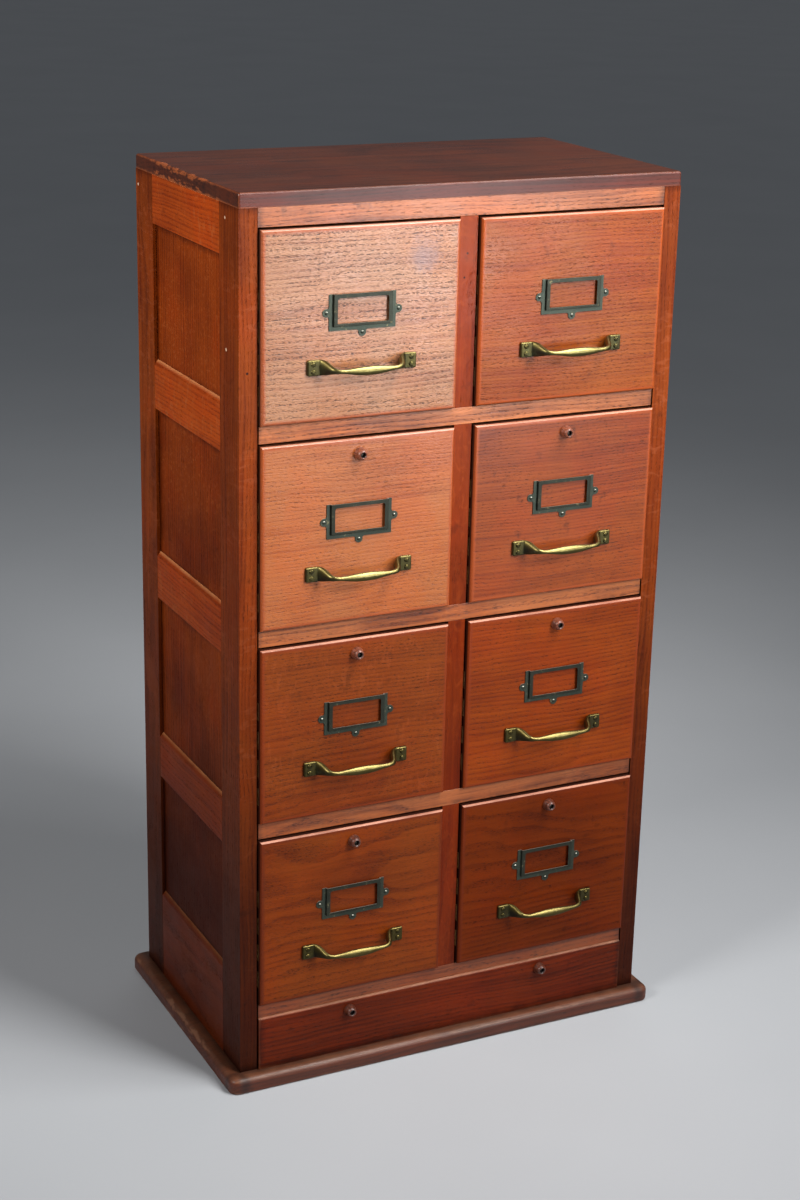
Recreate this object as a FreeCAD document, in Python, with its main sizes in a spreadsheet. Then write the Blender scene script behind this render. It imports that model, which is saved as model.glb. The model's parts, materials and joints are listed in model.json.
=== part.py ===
import FreeCAD, Part
import math
import os
import Sketcher
from FreeCAD import Vector, Rotation, Placement

# Card catalog cabinet: a frame-and-panel oak carcass with two columns of four drawers.
# Frame: +X to the right as seen from the front, the front faces -Y, +Z up.
# The origin is the centre of the base board's underside.  All sizes are millimetres.

doc = FreeCAD.newDocument("card_catalog_cabinet")
sheet = doc.addObject("Spreadsheet::Sheet", "Sheet")

DIMENSIONS = [
    # carcass
    ("cab_width", 530.0, "outside width of the carcass"),
    ("cab_depth", 310.0, "outside depth of the carcass"),
    ("base_thick", 19.0, "base board thickness"),
    ("base_over", 17.0, "base board overhang all round"),
    ("base_corner", 12.0, "base board corner radius in plan"),
    ("base_ease_top", 7.0, "base board top edge radius"),
    ("base_ease_low", 3.0, "base board bottom edge radius"),
    ("top_thick", 16.0, "top board thickness"),
    ("top_ease", 3.0, "top board edge radius"),
    ("stile_face", 21.0, "side frame thickness, seen as the front stile"),
    ("stile_side", 53.5, "width of a side frame stile"),
    ("muntin_width", 22.0, "centre muntin and partition thickness"),
    ("rail_thick", 19.0, "front rail height"),
    ("opening_height", 209.5, "height of a drawer opening"),
    ("top_rail", 20.5, "top front rail height"),
    ("bottom_rail", 16.5, "bottom front rail height"),
    ("kick_height", 66.5, "kick board height"),
    ("kick_proud", 2.5, "kick board stands in front of the frame by this much"),
    ("kick_ease", 3.5, "kick board edge radius"),
    ("rail_gap", 1.5, "gap between a rail's shoulder and the stile"),
    ("rail_depth", 45.0, "front rail depth"),
    ("rail_tenon_high", 9.0, "front rail tenon height"),
    ("rail_tenon_long", 12.0, "front rail tenon length into the stile"),
    ("rail_tenon_deep", 18.0, "front rail tenon width front to back, clear of the side rail tenons"),
    ("muntin_depth", 19.0, "muntin thickness front to back"),
    ("panel_thick", 8.0, "side panel thickness"),
    ("panel_recess", 4.5, "side panel face lies behind the frame by this much"),
    ("panel_tongue", 8.0, "side panel edge held in the groove"),
    ("bevel_high", 5.5, "height of the bevel on a side rail's top edge"),
    ("side_top_rail", 54.7, "side frame top rail width"),
    ("side_mid_rail", 52.0, "side frame middle rail width"),
    ("side_low_rail", 110.8, "side frame bottom rail width"),
    ("side_panel_short", 160.5, "sight height of the first and last side panel"),
    ("tenon_thick", 9.0, "side rail tenon thickness"),
    ("tenon_long", 25.0, "side rail tenon length"),
    ("tenon_shoulder", 10.0, "side rail tenon shoulder top and bottom"),
    ("back_thick", 10.0, "back board thickness"),
    ("back_rabbet", 10.0, "rabbet in the rear stile"),
    ("tongue_thick", 3.0, "back board tongue thickness"),
    ("tongue_long", 5.0, "back board tongue length"),
    ("runner_width", 14.0, "drawer runner width"),
    ("stop_long", 11.5, "drawer stop length"),
    ("stop_high", 12.0, "drawer stop height"),
    # drawer
    ("front_thick", 20.0, "drawer front thickness"),
    ("front_proud", 6.5, "drawer front stands in front of the frame by this much"),
    ("front_gap", 1.8, "gap at each side of a drawer front"),
    ("front_gap_low", 1.0, "gap below a drawer front"),
    ("front_gap_top", 2.0, "gap above a drawer front"),
    ("front_ease", 3.5, "radius of the drawer front's face edges"),
    ("box_gap_low", 0.5, "clearance under a drawer side"),
    ("side_thick", 11.0, "drawer side thickness"),
    ("side_high", 150.0, "drawer side height"),
    ("side_run", 274.5, "drawer side length behind the front"),
    ("back_board", 11.0, "drawer back thickness"),
    ("back_high", 205.0, "top of the drawer back above the side's bottom edge"),
    ("bottom_thick", 6.0, "drawer bottom thickness"),
    ("bottom_up", 9.0, "drawer bottom above the side's bottom edge"),
    ("bottom_edge", 5.0, "drawer bottom edge held in a groove"),
    ("lap_tail", 13.0, "front dovetail length"),
    ("tail_narrow", 16.0, "dovetail width at the shoulder"),
    ("tail_wide", 22.0, "dovetail width at its end"),
    ("tail_first", 32.0, "height of the lowest dovetail"),
    ("tail_pitch", 34.0, "dovetail spacing"),
    # pull
    ("pull_length", 127.0, "length of the pull over its pads"),
    ("pad_width", 14.5, "pull pad width"),
    ("pad_high", 17.0, "pull pad height"),
    ("pad_thick", 3.6, "pull pad thickness"),
    ("pad_ease", 1.6, "pull pad edge radius"),
    ("pull_up", 59.5, "pull centre above the drawer front's bottom edge"),
    ("grip_out", 22.0, "grip centre in front of the drawer face"),
    ("grip_high", 9.8, "grip height at the middle"),
    ("grip_thick", 6.4, "grip thickness at the middle"),
    ("grip_end_high", 5.4, "grip height at its ends"),
    ("grip_drop", 2.6, "grip centre lies below the pads at the middle"),
    ("screw_pitch", 8.0, "distance between the two screws of a pad"),
    ("screw_head", 5.4, "pull screw head diameter"),
    ("screw_head_high", 1.6, "pull screw head height"),
    ("screw_shank", 3.0, "pull screw shank diameter"),
    ("screw_long", 15.0, "pull screw length under the head"),
    # card frame
    ("card_width", 77.5, "card frame flange width"),
    ("card_high", 39.0, "card frame height without the lower ear"),
    ("card_up", 116.5, "card frame middle above the drawer front's bottom edge"),
    ("card_flange", 4.5, "card frame flange width"),
    ("card_sheet", 0.9, "card frame sheet thickness"),
    ("card_raise", 3.4, "card frame face stands out by this much"),
    ("card_bar", 4.5, "card frame side bar width"),
    ("card_bar_top", 4.2, "card frame top bar width"),
    ("card_bar_low", 3.0, "card frame lower bar width"),
    ("ear_radius", 4.4, "card frame ear radius"),
    ("ear_out", 3.1, "ear centre beyond the flange edge"),
    ("ear_root", 13.0, "width of the ear where it meets the flange"),
    ("pin_head", 3.8, "card frame pin head diameter"),
    ("pin_head_high", 1.3, "card frame pin head height"),
    ("pin_shank", 1.6, "card frame pin shank diameter"),
    ("pin_long", 11.0, "card frame pin length under the head"),
    # turned button
    ("button_base", 14.2, "turned button diameter at the face"),
    ("button_nose", 12.4, "turned button diameter near its nose"),
    ("button_long", 9.5, "turned button length"),
    ("button_round", 2.6, "turned button nose radius"),
    ("button_bore", 5.8, "turned button bore diameter"),
    ("button_bore_deep", 5.0, "turned button bore depth"),
    ("button_down", 17.0, "turned button centre below the drawer front's top edge"),
    ("kick_button_down", 13.5, "turned button centre below the kick board's top edge"),
    ("nail_head", 4.6, "nail head diameter"),
    ("nail_shank", 2.2, "nail shank diameter"),
    ("nail_long", 16.0, "nail length under the head"),
    # follower
    ("follow_width", 200.0, "follower plate width"),
    ("follow_high", 118.0, "follower plate height"),
    ("follow_thick", 9.0, "follower plate thickness"),
    ("follow_lean", 24.0, "follower plate leans back by this much at its top"),
    ("follow_foot_width", 44.0, "follower foot width"),
    ("follow_foot_long", 58.0, "follower foot length"),
    ("follow_gap", 0.5, "clearance under the follower"),
    ("follow_place", 66.0, "follower's front edge ahead of the drawer back"),
]
for row, (alias, value, note) in enumerate(DIMENSIONS, start=1):
    sheet.set("A%d" % row, note)
    sheet.set("B%d" % row, repr(value))
    sheet.setAlias("B%d" % row, alias)
doc.recompute()


class Size:
    """A length that carries its value and the sheet expression it comes from."""

    def __init__(self, value, text=None):
        self.value = float(value)
        self.text = text if text is not None else "%.6g" % float(value)

    def __add__(self, other):
        o = size(other)
        return Size(self.value + o.value, "(%s + %s)" % (self.text, o.text))

    def __radd__(self, other):
        return size(other) + self

    def __sub__(self, other):
        o = size(other)
        return Size(self.value - o.value, "(%s - %s)" % (self.text, o.text))

    def __rsub__(self, other):
        return size(other) - self

    def __mul__(self, other):
        o = size(other)
        return Size(self.value * o.value, "(%s * %s)" % (self.text, o.text))

    def __rmul__(self, other):
        return size(other) * self

    def __truediv__(self, other):
        o = size(other)
        return Size(self.value / o.value, "(%s / %s)" % (self.text, o.text))

    def __neg__(self):
        return Size(-self.value, "(0 - %s)" % self.text)


def size(x):
    return x if isinstance(x, Size) else Size(x)


S = {alias: Size(value, "Sheet." + alias) for alias, value, note in DIMENSIONS}
NODES = []


# ---------------------------------------------------------------- helpers
def place(obj, x=0, y=0, z=0):
    for axis, v in zip("xyz", (x, y, z)):
        obj.setExpression("Placement.Base.%s" % axis, size(v).text)
    return obj


def box(name, x0, x1, y0, y1, z0, z1):
    """A square-edged board between two corners."""
    b = doc.addObject("Part::Box", name)
    b.setExpression("Length", (size(x1) - x0).text)
    b.setExpression("Width", (size(y1) - y0).text)
    b.setExpression("Height", (size(z1) - z0).text)
    return place(b, x0, y0, z0)


def group(name, links, x=0, y=0, z=0):
    """Several solids kept apart in one object, moved together."""
    c = doc.addObject("Part::Compound", name)
    c.Links = list(links)
    return place(c, x, y, z)


def cut(name, base, tools):
    """A piece with the room for its neighbours taken out of it."""
    tools = list(tools)
    tool = tools[0] if len(tools) == 1 else group(name + "_tools", tools)
    c = doc.addObject("Part::Cut", name)
    c.Base = base
    c.Tool = tool
    return c


def fuse(name, parts):
    f = doc.addObject("Part::MultiFuse", name)
    f.Shapes = list(parts)
    f.Refine = True
    return f


def mirror(name, source):
    """The same piece on the other side of the middle plane X = 0."""
    m = doc.addObject("Part::Mirroring", name)
    m.Source = source
    m.Base = Vector(0, 0, 0)
    m.Normal = Vector(1, 0, 0)
    return m


def body(name):
    return doc.addObject("PartDesign::Body", name)


def plane(bod, role):
    for feature in bod.Origin.OriginFeatures:
        if feature.Role == role:
            return feature


def sketch(bod, name, role, offset=None):
    s = bod.newObject("Sketcher::SketchObject", name)
    s.AttachmentSupport = [(plane(bod, role), "")]
    s.MapMode = "FlatFace"
    if offset is not None:
        s.setExpression("AttachmentOffset.Base.z", size(offset).text)
    return s


def polygon(sk, points):
    """A closed outline whose corners are bound to the sheet."""
    pts = [(size(u), size(v)) for u, v in points]
    n = len(pts)
    first = sk.GeometryCount
    for i in range(n):
        a, b = pts[i], pts[(i + 1) % n]
        sk.addGeometry(Part.LineSegment(Vector(a[0].value, a[1].value, 0),
                                        Vector(b[0].value, b[1].value, 0)), False)
    for i in range(n):
        sk.addConstraint(Sketcher.Constraint("Coincident", first + i, 2, first + (i + 1) % n, 1))
    for i in range(n):
        for kind, v in (("DistanceX", pts[i][0]), ("DistanceY", pts[i][1])):
            k = sk.addConstraint(Sketcher.Constraint(kind, -1, 1, first + i, 1, v.value))
            if v.text.find("Sheet") >= 0:
                sk.setExpression("Constraints[%d]" % k, v.text)


def circle(sk, u, v, radius):
    u, v, radius = size(u), size(v), size(radius)
    g = sk.addGeometry(Part.Circle(Vector(u.value, v.value, 0), Vector(0, 0, 1), radius.value), False)
    for kind, w in (("DistanceX", u), ("DistanceY", v)):
        k = sk.addConstraint(Sketcher.Constraint(kind, -1, 1, g, 3, w.value))
        if w.text.find("Sheet") >= 0:
            sk.setExpression("Constraints[%d]" % k, w.text)
    k = sk.addConstraint(Sketcher.Constraint("Radius", g, radius.value))
    sk.setExpression("Constraints[%d]" % k, radius.text)


def pad(bod, name, sk, length, back=False):
    p = bod.newObject("PartDesign::Pad", name)
    p.Profile = sk
    p.Reversed = back
    p.setExpression("Length", size(length).text)
    doc.recompute()
    return p


def pocket(bod, name, sk, length, back=False):
    before = bod.Shape.Volume
    p = bod.newObject("PartDesign::Pocket", name)
    p.Profile = sk
    p.Reversed = back
    p.setExpression("Length", size(length).text)
    doc.recompute()
    if p.Shape.Volume > before - 0.01:
        raise RuntimeError(name + " cuts nothing")
    return p


def revolve(bod, name, points):
    """A turned piece about the body's Z axis: points are (radius, height)."""
    sk = sketch(bod, name + "_profile", "XZ_Plane")
    polygon(sk, points)
    doc.recompute()
    r = bod.newObject("PartDesign::Revolution", name)
    r.Profile = sk
    r.ReferenceAxis = (sk, ["V_Axis"])
    r.Angle = 360.0
    doc.recompute()
    return r


def ease(bod, name, feature, test, radius):
    """Round the edges of a feature for which test(edge) is true."""
    names = ["Edge%d" % (i + 1) for i, e in enumerate(feature.Shape.Edges) if test(e)]
    f = bod.newObject("PartDesign::Fillet", name)
    f.Base = (feature, names)
    f.setExpression("Radius", size(radius).text)
    doc.recompute()
    return f


def low(e, axis):
    b = e.BoundBox
    return (b.XMin, b.YMin, b.ZMin)[axis]


def high(e, axis):
    b = e.BoundBox
    return (b.XMax, b.YMax, b.ZMax)[axis]


def at(e, axis, v):
    """True where the edge lies wholly at this height along an axis."""
    v = size(v).value
    return abs(low(e, axis) - v) < 1e-4 and abs(high(e, axis) - v) < 1e-4


def node(obj, name):
    obj.Label = name
    NODES.append((obj, name))
    return obj


# ---------------------------------------------------------------- levels
half_w = S["cab_width"] / 2
half_d = S["cab_depth"] / 2
front = -half_d                               # front plane of the face frame
rear = half_d
inner = half_w - S["stile_face"]              # inner face of a side frame
half_m = S["muntin_width"] / 2
pitch = S["opening_height"] + S["rail_thick"]
z_base = S["base_thick"]
z_kick = z_base + S["kick_height"]
z_row4 = z_kick + S["bottom_rail"]            # underside of the lowest opening
z_open = [z_row4 + pitch * k for k in (3, 2, 1, 0)]   # rows 1 to 4, counted from the top
z_top = z_open[0] + S["opening_height"] + S["top_rail"]
column = (inner + half_m) / 2                 # middle of a column of drawers

# ---------------------------------------------------------------- top board
top_body = body("TopBoard")
sk = sketch(top_body, "TopOutline", "XY_Plane")
polygon(sk, [(-half_w, -half_d), (half_w, -half_d), (half_w, half_d), (-half_w, half_d)])
doc.recompute()
f = pad(top_body, "TopPad", sk, S["top_thick"])
f = ease(top_body, "TopCorners", f, lambda e: high(e, 2) - low(e, 2) > 1.0, S["top_ease"] - 0.5)
f = ease(top_body, "TopEdge", f, lambda e: at(e, 2, S["top_thick"]), S["top_ease"])
place(top_body, 0, 0, z_top)
node(top_body, "top_board")

# ---------------------------------------------------------------- base board
base_body = body("BaseBoard")
sk = sketch(base_body, "BaseOutline", "XY_Plane")
bx, by = half_w + S["base_over"], half_d + S["base_over"]
polygon(sk, [(-bx, -by), (bx, -by), (bx, by), (-bx, by)])
doc.recompute()
f = pad(base_body, "BasePad", sk, S["base_thick"])
f = ease(base_body, "BaseCorners", f, lambda e: high(e, 2) - low(e, 2) > 1.0, S["base_corner"])
f = ease(base_body, "BaseTopEdge", f, lambda e: at(e, 2, S["base_thick"]), S["base_ease_top"])
f = ease(base_body, "BaseLowEdge", f, lambda e: at(e, 2, 0), S["base_ease_low"])
node(base_body, "base_board")

# ---------------------------------------------------------------- side frames
# Each frame is two stiles and five rails round four loose panels.
y_in_front = front + S["stile_side"]
y_in_rear = rear - S["stile_side"]
panel_out = half_w - S["panel_recess"]
panel_in = panel_out - S["panel_thick"]
tenon_in = inner + (S["stile_face"] - S["tenon_thick"]) / 2
rail_low = z_base + S["side_low_rail"]
panel_mid = (z_top - S["side_top_rail"] - rail_low - S["side_mid_rail"] * 3 - S["side_panel_short"] * 2) / 2
# underside and outer top edge of each rail, from the bottom up
rail_spans = [(z_base, rail_low)]
for high_panel in (S["side_panel_short"], panel_mid, panel_mid, S["side_panel_short"]):
    start = rail_spans[-1][1] + high_panel
    if len(rail_spans) < 4:
        rail_spans.append((start, start + S["side_mid_rail"]))
    else:
        rail_spans.append((start, z_top))

side_rails = []
for k, (z0, z1) in enumerate(rail_spans):
    last = k == len(rail_spans) - 1
    b = body("SideRail%d" % (k + 1))
    sk = sketch(b, "SideRailProfile%d" % (k + 1), "XZ_Plane", -y_in_front)
    if last:
        outline = [(inner, z0), (half_w, z0), (half_w, z1), (inner, z1)]
    else:
        crest = z1 + S["bevel_high"]
        outline = [(inner, z0), (half_w, z0), (half_w, z1), (panel_out, crest), (inner, crest)]
    polygon(sk, outline)
    doc.recompute()
    pad(b, "SideRailLength%d" % (k + 1), sk, y_in_rear - y_in_front, back=True)
    t0 = z0 + S["tenon_shoulder"]
    t1 = z1 - S["tenon_shoulder"]
    tenon = box("SideTenon%d" % (k + 1), tenon_in, tenon_in + S["tenon_thick"],
                y_in_front - S["tenon_long"], y_in_rear + S["tenon_long"], t0, t1)
    side_rails.append(fuse("SideRailWithTenons%d" % (k + 1), [b, tenon]))

panels = []
for k in range(4):
    z0 = rail_spans[k][1] + S["bevel_high"] - S["panel_tongue"]
    z1 = rail_spans[k + 1][0] + S["panel_tongue"]
    panels.append(box("SidePanel%d" % (k + 1), panel_in, panel_out,
                      y_in_front - S["panel_tongue"], y_in_rear + S["panel_tongue"], z0, z1))
side_rails = [cut("SideRailGrooved%d" % (k + 1), r, [p for i, p in enumerate(panels) if i in (k - 1, k)])
              for k, r in enumerate(side_rails)]

# ---------------------------------------------------------------- front rails, muntins, kick board
rail_end = inner - S["rail_gap"]
front_rails = []
spans = [(z_open[0] + S["opening_height"], z_top)]
spans += [(z_open[i] - S["rail_thick"], z_open[i]) for i in range(3)]
spans += [(z_kick, z_row4)]
for k, (z0, z1) in enumerate(spans):
    end = inner if k == 0 else rail_end        # the top rail fits tight, the others stop short
    wood = box("FrontRailBoard%d" % k, -end, end, front, front + S["rail_depth"], z0, z1)
    t0 = (z0 + z1 - S["rail_tenon_high"]) / 2
    tenon = box("FrontRailTenon%d" % k, -(inner + S["rail_tenon_long"]), inner + S["rail_tenon_long"],
                front + 8, front + 8 + S["rail_tenon_deep"], t0, t0 + S["rail_tenon_high"])
    front_rails.append(fuse("FrontRail%d" % k, [wood, tenon]))

muntins = [box("Muntin%d" % (i + 1), -half_m, half_m, front, front + S["muntin_depth"],
               z_open[i], z_open[i] + S["opening_height"]) for i in range(4)]

kick_body = body("KickBoard")
sk = sketch(kick_body, "KickOutline", "XZ_Plane", S["kick_proud"] - front)
polygon(sk, [(-rail_end, z_base), (rail_end, z_base), (rail_end, z_kick), (-rail_end, z_kick)])
doc.recompute()
f = pad(kick_body, "KickPad", sk, 19.0, back=True)
f = ease(kick_body, "KickEdge", f,
         lambda e: at(e, 1, front - S["kick_proud"]) and low(e, 2) > z_base.value + 1 and high(e, 0) - low(e, 0) > 10,
         S["kick_ease"])

# ---------------------------------------------------------------- back boards
back_y = rear - S["back_thick"]
back_x = inner + S["back_rabbet"]
board_w = back_x / 2
back_boards = []
for k in range(4):
    x0 = -back_x + board_w * k
    b = box("BackBoard%d" % (k + 1), x0, x0 + board_w, back_y, rear, z_base, z_top)
    if k < 3:
        tongue = box("BackTongue%d" % (k + 1), x0 + board_w, x0 + board_w + S["tongue_long"],
                     back_y + (S["back_thick"] - S["tongue_thick"]) / 2,
                     back_y + (S["back_thick"] + S["tongue_thick"]) / 2, z_base, z_top)
        b = fuse("BackBoardTongued%d" % (k + 1), [b, tongue])
    if k > 0:
        b = cut("BackBoardGrooved%d" % (k + 1), b, [tongue_before])
    if k < 3:
        tongue_before = tongue
    back_boards.append(b)

# ---------------------------------------------------------------- stiles
front_stile = box("FrontStileBoard", inner, half_w, front, y_in_front, z_base, z_top)
rear_stile = box("RearStileBoard", inner, half_w, y_in_rear, rear, z_base, z_top)
front_stile = cut("FrontStile", front_stile, side_rails + panels + front_rails)
rear_rabbet = box("RearRabbet", inner - 1, back_x, back_y, rear + 1, z_base - 1, z_top + 1)
rear_stile = cut("RearStile", rear_stile, side_rails + panels + [rear_rabbet])

# ---------------------------------------------------------------- partition, runners, stops
partition = box("PartitionBoard", -half_m, half_m, front + S["muntin_depth"], back_y, z_base, z_top)
partition = cut("Partition", partition, front_rails)

runner_y0 = front + S["rail_depth"]
runners, stops = [], []
for i in range(4):
    z1 = z_open[i]
    for tag, x0 in (("L", -inner), ("ML", -half_m - S["runner_width"]), ("MR", half_m), ("R", inner - S["runner_width"])):
        runners.append(box("Runner%d%s" % (i + 1, tag), x0, x0 + S["runner_width"], runner_y0, back_y,
                           z1 - S["rail_thick"], z1))
        stops.append(box("Stop%d%s" % (i + 1, tag), x0, x0 + S["runner_width"],
                         back_y - S["stop_long"], back_y, z1, z1 + S["stop_high"]))

# ---------------------------------------------------------------- small hardware, modelled once
# Pull screw: round slotted head, its underside at height 0, pointing along +Z.
screw_body = body("PullScrew")
rh, rs = S["screw_head"] / 2, S["screw_shank"] / 2
revolve(screw_body, "PullScrewTurned", [
    (0, -S["screw_long"]), (rs * 0.5, -S["screw_long"] + 2.5), (rs, -S["screw_long"] + 5), (rs, 0), (rh, 0),
    (rh, S["screw_head_high"] * 0.45), (rh * 0.82, S["screw_head_high"] * 0.82), (rh * 0.45, S["screw_head_high"]),
    (0, S["screw_head_high"])])
sk = sketch(screw_body, "PullScrewSlotOutline", "XY_Plane", S["screw_head_high"] + 0.5)
polygon(sk, [(-rh - 1, -0.4), (rh + 1, -0.4), (rh + 1, 0.4), (-rh - 1, 0.4)])
doc.recompute()
pocket(screw_body, "PullScrewSlot", sk, 1.3)

# Card frame pin: domed head.
pin_body = body("CardPin")
ph, ps = S["pin_head"] / 2, S["pin_shank"] / 2
revolve(pin_body, "CardPinTurned", [
    (0, -S["pin_long"]), (ps, -S["pin_long"] + 2), (ps, 0), (ph, 0), (ph * 0.96, S["pin_head_high"] * 0.35),
    (ph * 0.78, S["pin_head_high"] * 0.72), (ph * 0.45, S["pin_head_high"] * 0.94), (0, S["pin_head_high"])])

# Turned button with its nail: base at height 0, nose along +Z.
button_body = body("TurnedButton")
rb, rn, ro = S["button_base"] / 2, S["button_nose"] / 2, S["button_bore"] / 2
ln, rr = S["button_long"], S["button_round"]
ra = S["nail_shank"] / 2
revolve(button_body, "ButtonTurned", [
    (ra, 0), (rb, 0), (rb, 1.2), (rb * 0.965, 3.0), (rn, ln - rr * 1.9), (rn - rr * 0.10, ln - rr * 1.1),
    (rn - rr * 0.36, ln - rr * 0.48), (rn - rr * 0.72, ln - rr * 0.12), (ro + 0.8, ln - 0.1), (ro, ln - 1.0),
    (ro, ln - S["button_bore_deep"]), (ra, ln - S["button_bore_deep"])])
nail_body = body("ButtonNail")
nh = S["nail_head"] / 2
nz = ln - S["button_bore_deep"]
revolve(nail_body, "ButtonNailTurned", [
    (0, nz - S["nail_long"]), (ra, nz - S["nail_long"] + 3), (ra, nz), (nh, nz), (nh, nz + 0.9), (nh * 0.6, nz + 1.3), (0, nz + 1.3)])

# Fixings point out of the front face, towards -Y.
FACING = Rotation(Vector(1, 0, 0), 90)


def fixing(name, source, x, y, z, spin=0.0):
    """One fastener turned to face -Y, its head's underside at (x, y, z)."""
    inner_copy = doc.addObject("Part::Compound", name + "_turned")
    inner_copy.Links = [source]
    inner_copy.Placement = Placement(Vector(0, 0, 0), FACING.multiply(Rotation(Vector(0, 0, 1), spin)))
    return group(name, [inner_copy], x, y, z)


# ---------------------------------------------------------------- one drawer, made for row 1, right column
# Everything below is modelled at the place of the drawer in row 1 of the right-hand column,
# then repeated for the other seven by the column and row spacing.
dz = z_open[0]
dx0, dx1 = half_m + S["front_gap"], inner - S["front_gap"]
face_y = front - S["front_proud"]
back_of_front = face_y + S["front_thick"]
zf0 = dz + S["front_gap_low"]
zf1 = dz + S["opening_height"] - S["front_gap_top"]
zs = dz + S["box_gap_low"]
y_end = back_of_front + S["side_run"]

# side: outline with three laps of dovetails at each end, lying in the YZ plane
tail_y0 = back_of_front - S["lap_tail"]
back_in = y_end - S["back_board"]


def side_outline():
    pts = [(back_of_front, zs), (back_in, zs)]
    for k in range(4):
        c = zs + S["tail_first"] + S["tail_pitch"] * k
        pts += [(back_in, c - S["tail_narrow"] / 2), (y_end, c - S["tail_wide"] / 2),
                (y_end, c + S["tail_wide"] / 2), (back_in, c + S["tail_narrow"] / 2)]
    pts += [(back_in, zs + S["side_high"]), (back_of_front, zs + S["side_high"])]
    for k in (3, 2, 1, 0):
        c = zs + S["tail_first"] + S["tail_pitch"] * k
        pts += [(back_of_front, c + S["tail_narrow"] / 2), (tail_y0, c + S["tail_wide"] / 2),
                (tail_y0, c - S["tail_wide"] / 2), (back_of_front, c - S["tail_narrow"] / 2)]
    return pts


bottom = box("DrawerBottom", dx0 + S["side_thick"] - S["bottom_edge"], dx1 - S["side_thick"] + S["bottom_edge"],
             back_of_front - 6, y_end, zs + S["bottom_up"], zs + S["bottom_up"] + S["bottom_thick"])
sides = []
for tag, x0 in (("L", dx0), ("R", dx1 - S["side_thick"])):
    b = body("DrawerSide" + tag)
    sk = sketch(b, "DrawerSideOutline" + tag, "YZ_Plane", x0)
    polygon(sk, side_outline())
    doc.recompute()
    pad(b, "DrawerSidePad" + tag, sk, S["side_thick"])
    sides.append(cut("DrawerSideGrooved" + tag, b, [bottom]))
# the back sits on the bottom and carries the pins between the sides' tails
back = box("DrawerBackBoard", dx0, dx1, back_in, y_end, zs + S["bottom_up"] + S["bottom_thick"], zs + S["back_high"])
back = cut("DrawerBack", back, sides)
drawer_box = group("DrawerBox", sides + [back, bottom])

# pull: two pads and a cast grip between them, its middle at (column, face_y)
pz = zf0 + S["pull_up"]
half_pull = S["pull_length"] / 2
pads = []
for tag, sgn in (("L", -1), ("R", 1)):
    b = body("PullPad" + tag)
    sk = sketch(b, "PullPadOutline" + tag, "XZ_Plane")
    hx, hz = S["pad_width"] / 2, S["pad_high"] / 2
    polygon(sk, [(-hx, -hz), (hx, -hz), (hx, hz), (-hx, hz)])
    doc.recompute()
    f = pad(b, "PullPadPlate" + tag, sk, S["pad_thick"])
    f = ease(b, "PullPadEdge" + tag, f, lambda e: low(e, 1) < -0.2, S["pad_ease"])
    place(b, column + (half_pull - hx) * sgn, face_y, pz)
    pads.append(b)
# stations along the grip: share of the half length, share of the reach, height, thickness, drop
STATIONS = [(0.800, 0.050, 16.6, 2.4, 0.0), (0.765, 0.090, 16.8, 3.8, 0.0), (0.725, 0.180, 16.4, 6.2, 0.0),
            (0.690, 0.340, 14.8, 7.2, 0.03), (0.665, 0.530, 11.8, 6.9, 0.12), (0.640, 0.720, 8.6, 6.1, 0.28),
            (0.600, 0.880, 6.0, 5.2, 0.45), (0.535, 0.960, 4.8, 4.5, 0.6), (0.430, 0.985, 5.2, 4.7, 0.75),
            (0.290, 0.996, 7.4, 5.6, 0.9), (0.140, 1.0, 9.3, 6.3, 0.98), (0.0, 1.0, 9.8, 6.4, 1.0)]
stations = [(-u, v, h, w, d) for u, v, h, w, d in STATIONS] + [(u, v, h, w, d) for u, v, h, w, d in STATIONS[-2::-1]]
rings = []
for k, (u, v, h, w, d) in enumerate(stations):
    here = (u * half_pull.value, -v * S["grip_out"].value)
    before = stations[max(k - 1, 0)]
    after = stations[min(k + 1, len(stations) - 1)]
    tx = (after[0] - before[0]) * half_pull.value
    ty = -(after[1] - before[1]) * S["grip_out"].value
    tangent = Vector(tx, ty, 0).normalize()
    ring = doc.addObject("Part::Ellipse", "GripRing%02d" % k)
    ring.setExpression("MajorRadius", (S["grip_high"] * (h / 9.8 / 2)).text)
    ring.setExpression("MinorRadius", (S["grip_thick"] * (w / 6.4 / 2)).text)
    up = Vector(0, 0, 1)
    ring.Placement = Placement(Vector(0, 0, 0), Rotation(up, tangent.cross(up), tangent, "ZXY"))
    place(ring, column + half_pull * u, face_y - S["grip_out"] * v, pz - S["grip_drop"] * d)
    rings.append(ring)
grip = doc.addObject("Part::Loft", "PullGrip")
grip.Sections = rings
grip.Solid = True
grip.Ruled = False
doc.recompute()
pull_screws = []
for tag, sgn in (("L", -1), ("R", 1)):
    for part, dzs, spin in (("A", 1, 35.0), ("B", -1, -20.0)):
        pull_screws.append(fixing("PullScrew" + tag + part, screw_body,
                                  column + (half_pull - S["pad_width"] / 2 + 1.0) * sgn,
                                  face_y - S["pad_thick"],
                                  pz + S["screw_pitch"] * dzs / 2, spin))
casting = fuse("PullCasting", pads + [grip])
casting = cut("PullDrilled", casting, pull_screws)
pull = group("PullSet", [casting] + pull_screws)

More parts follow.
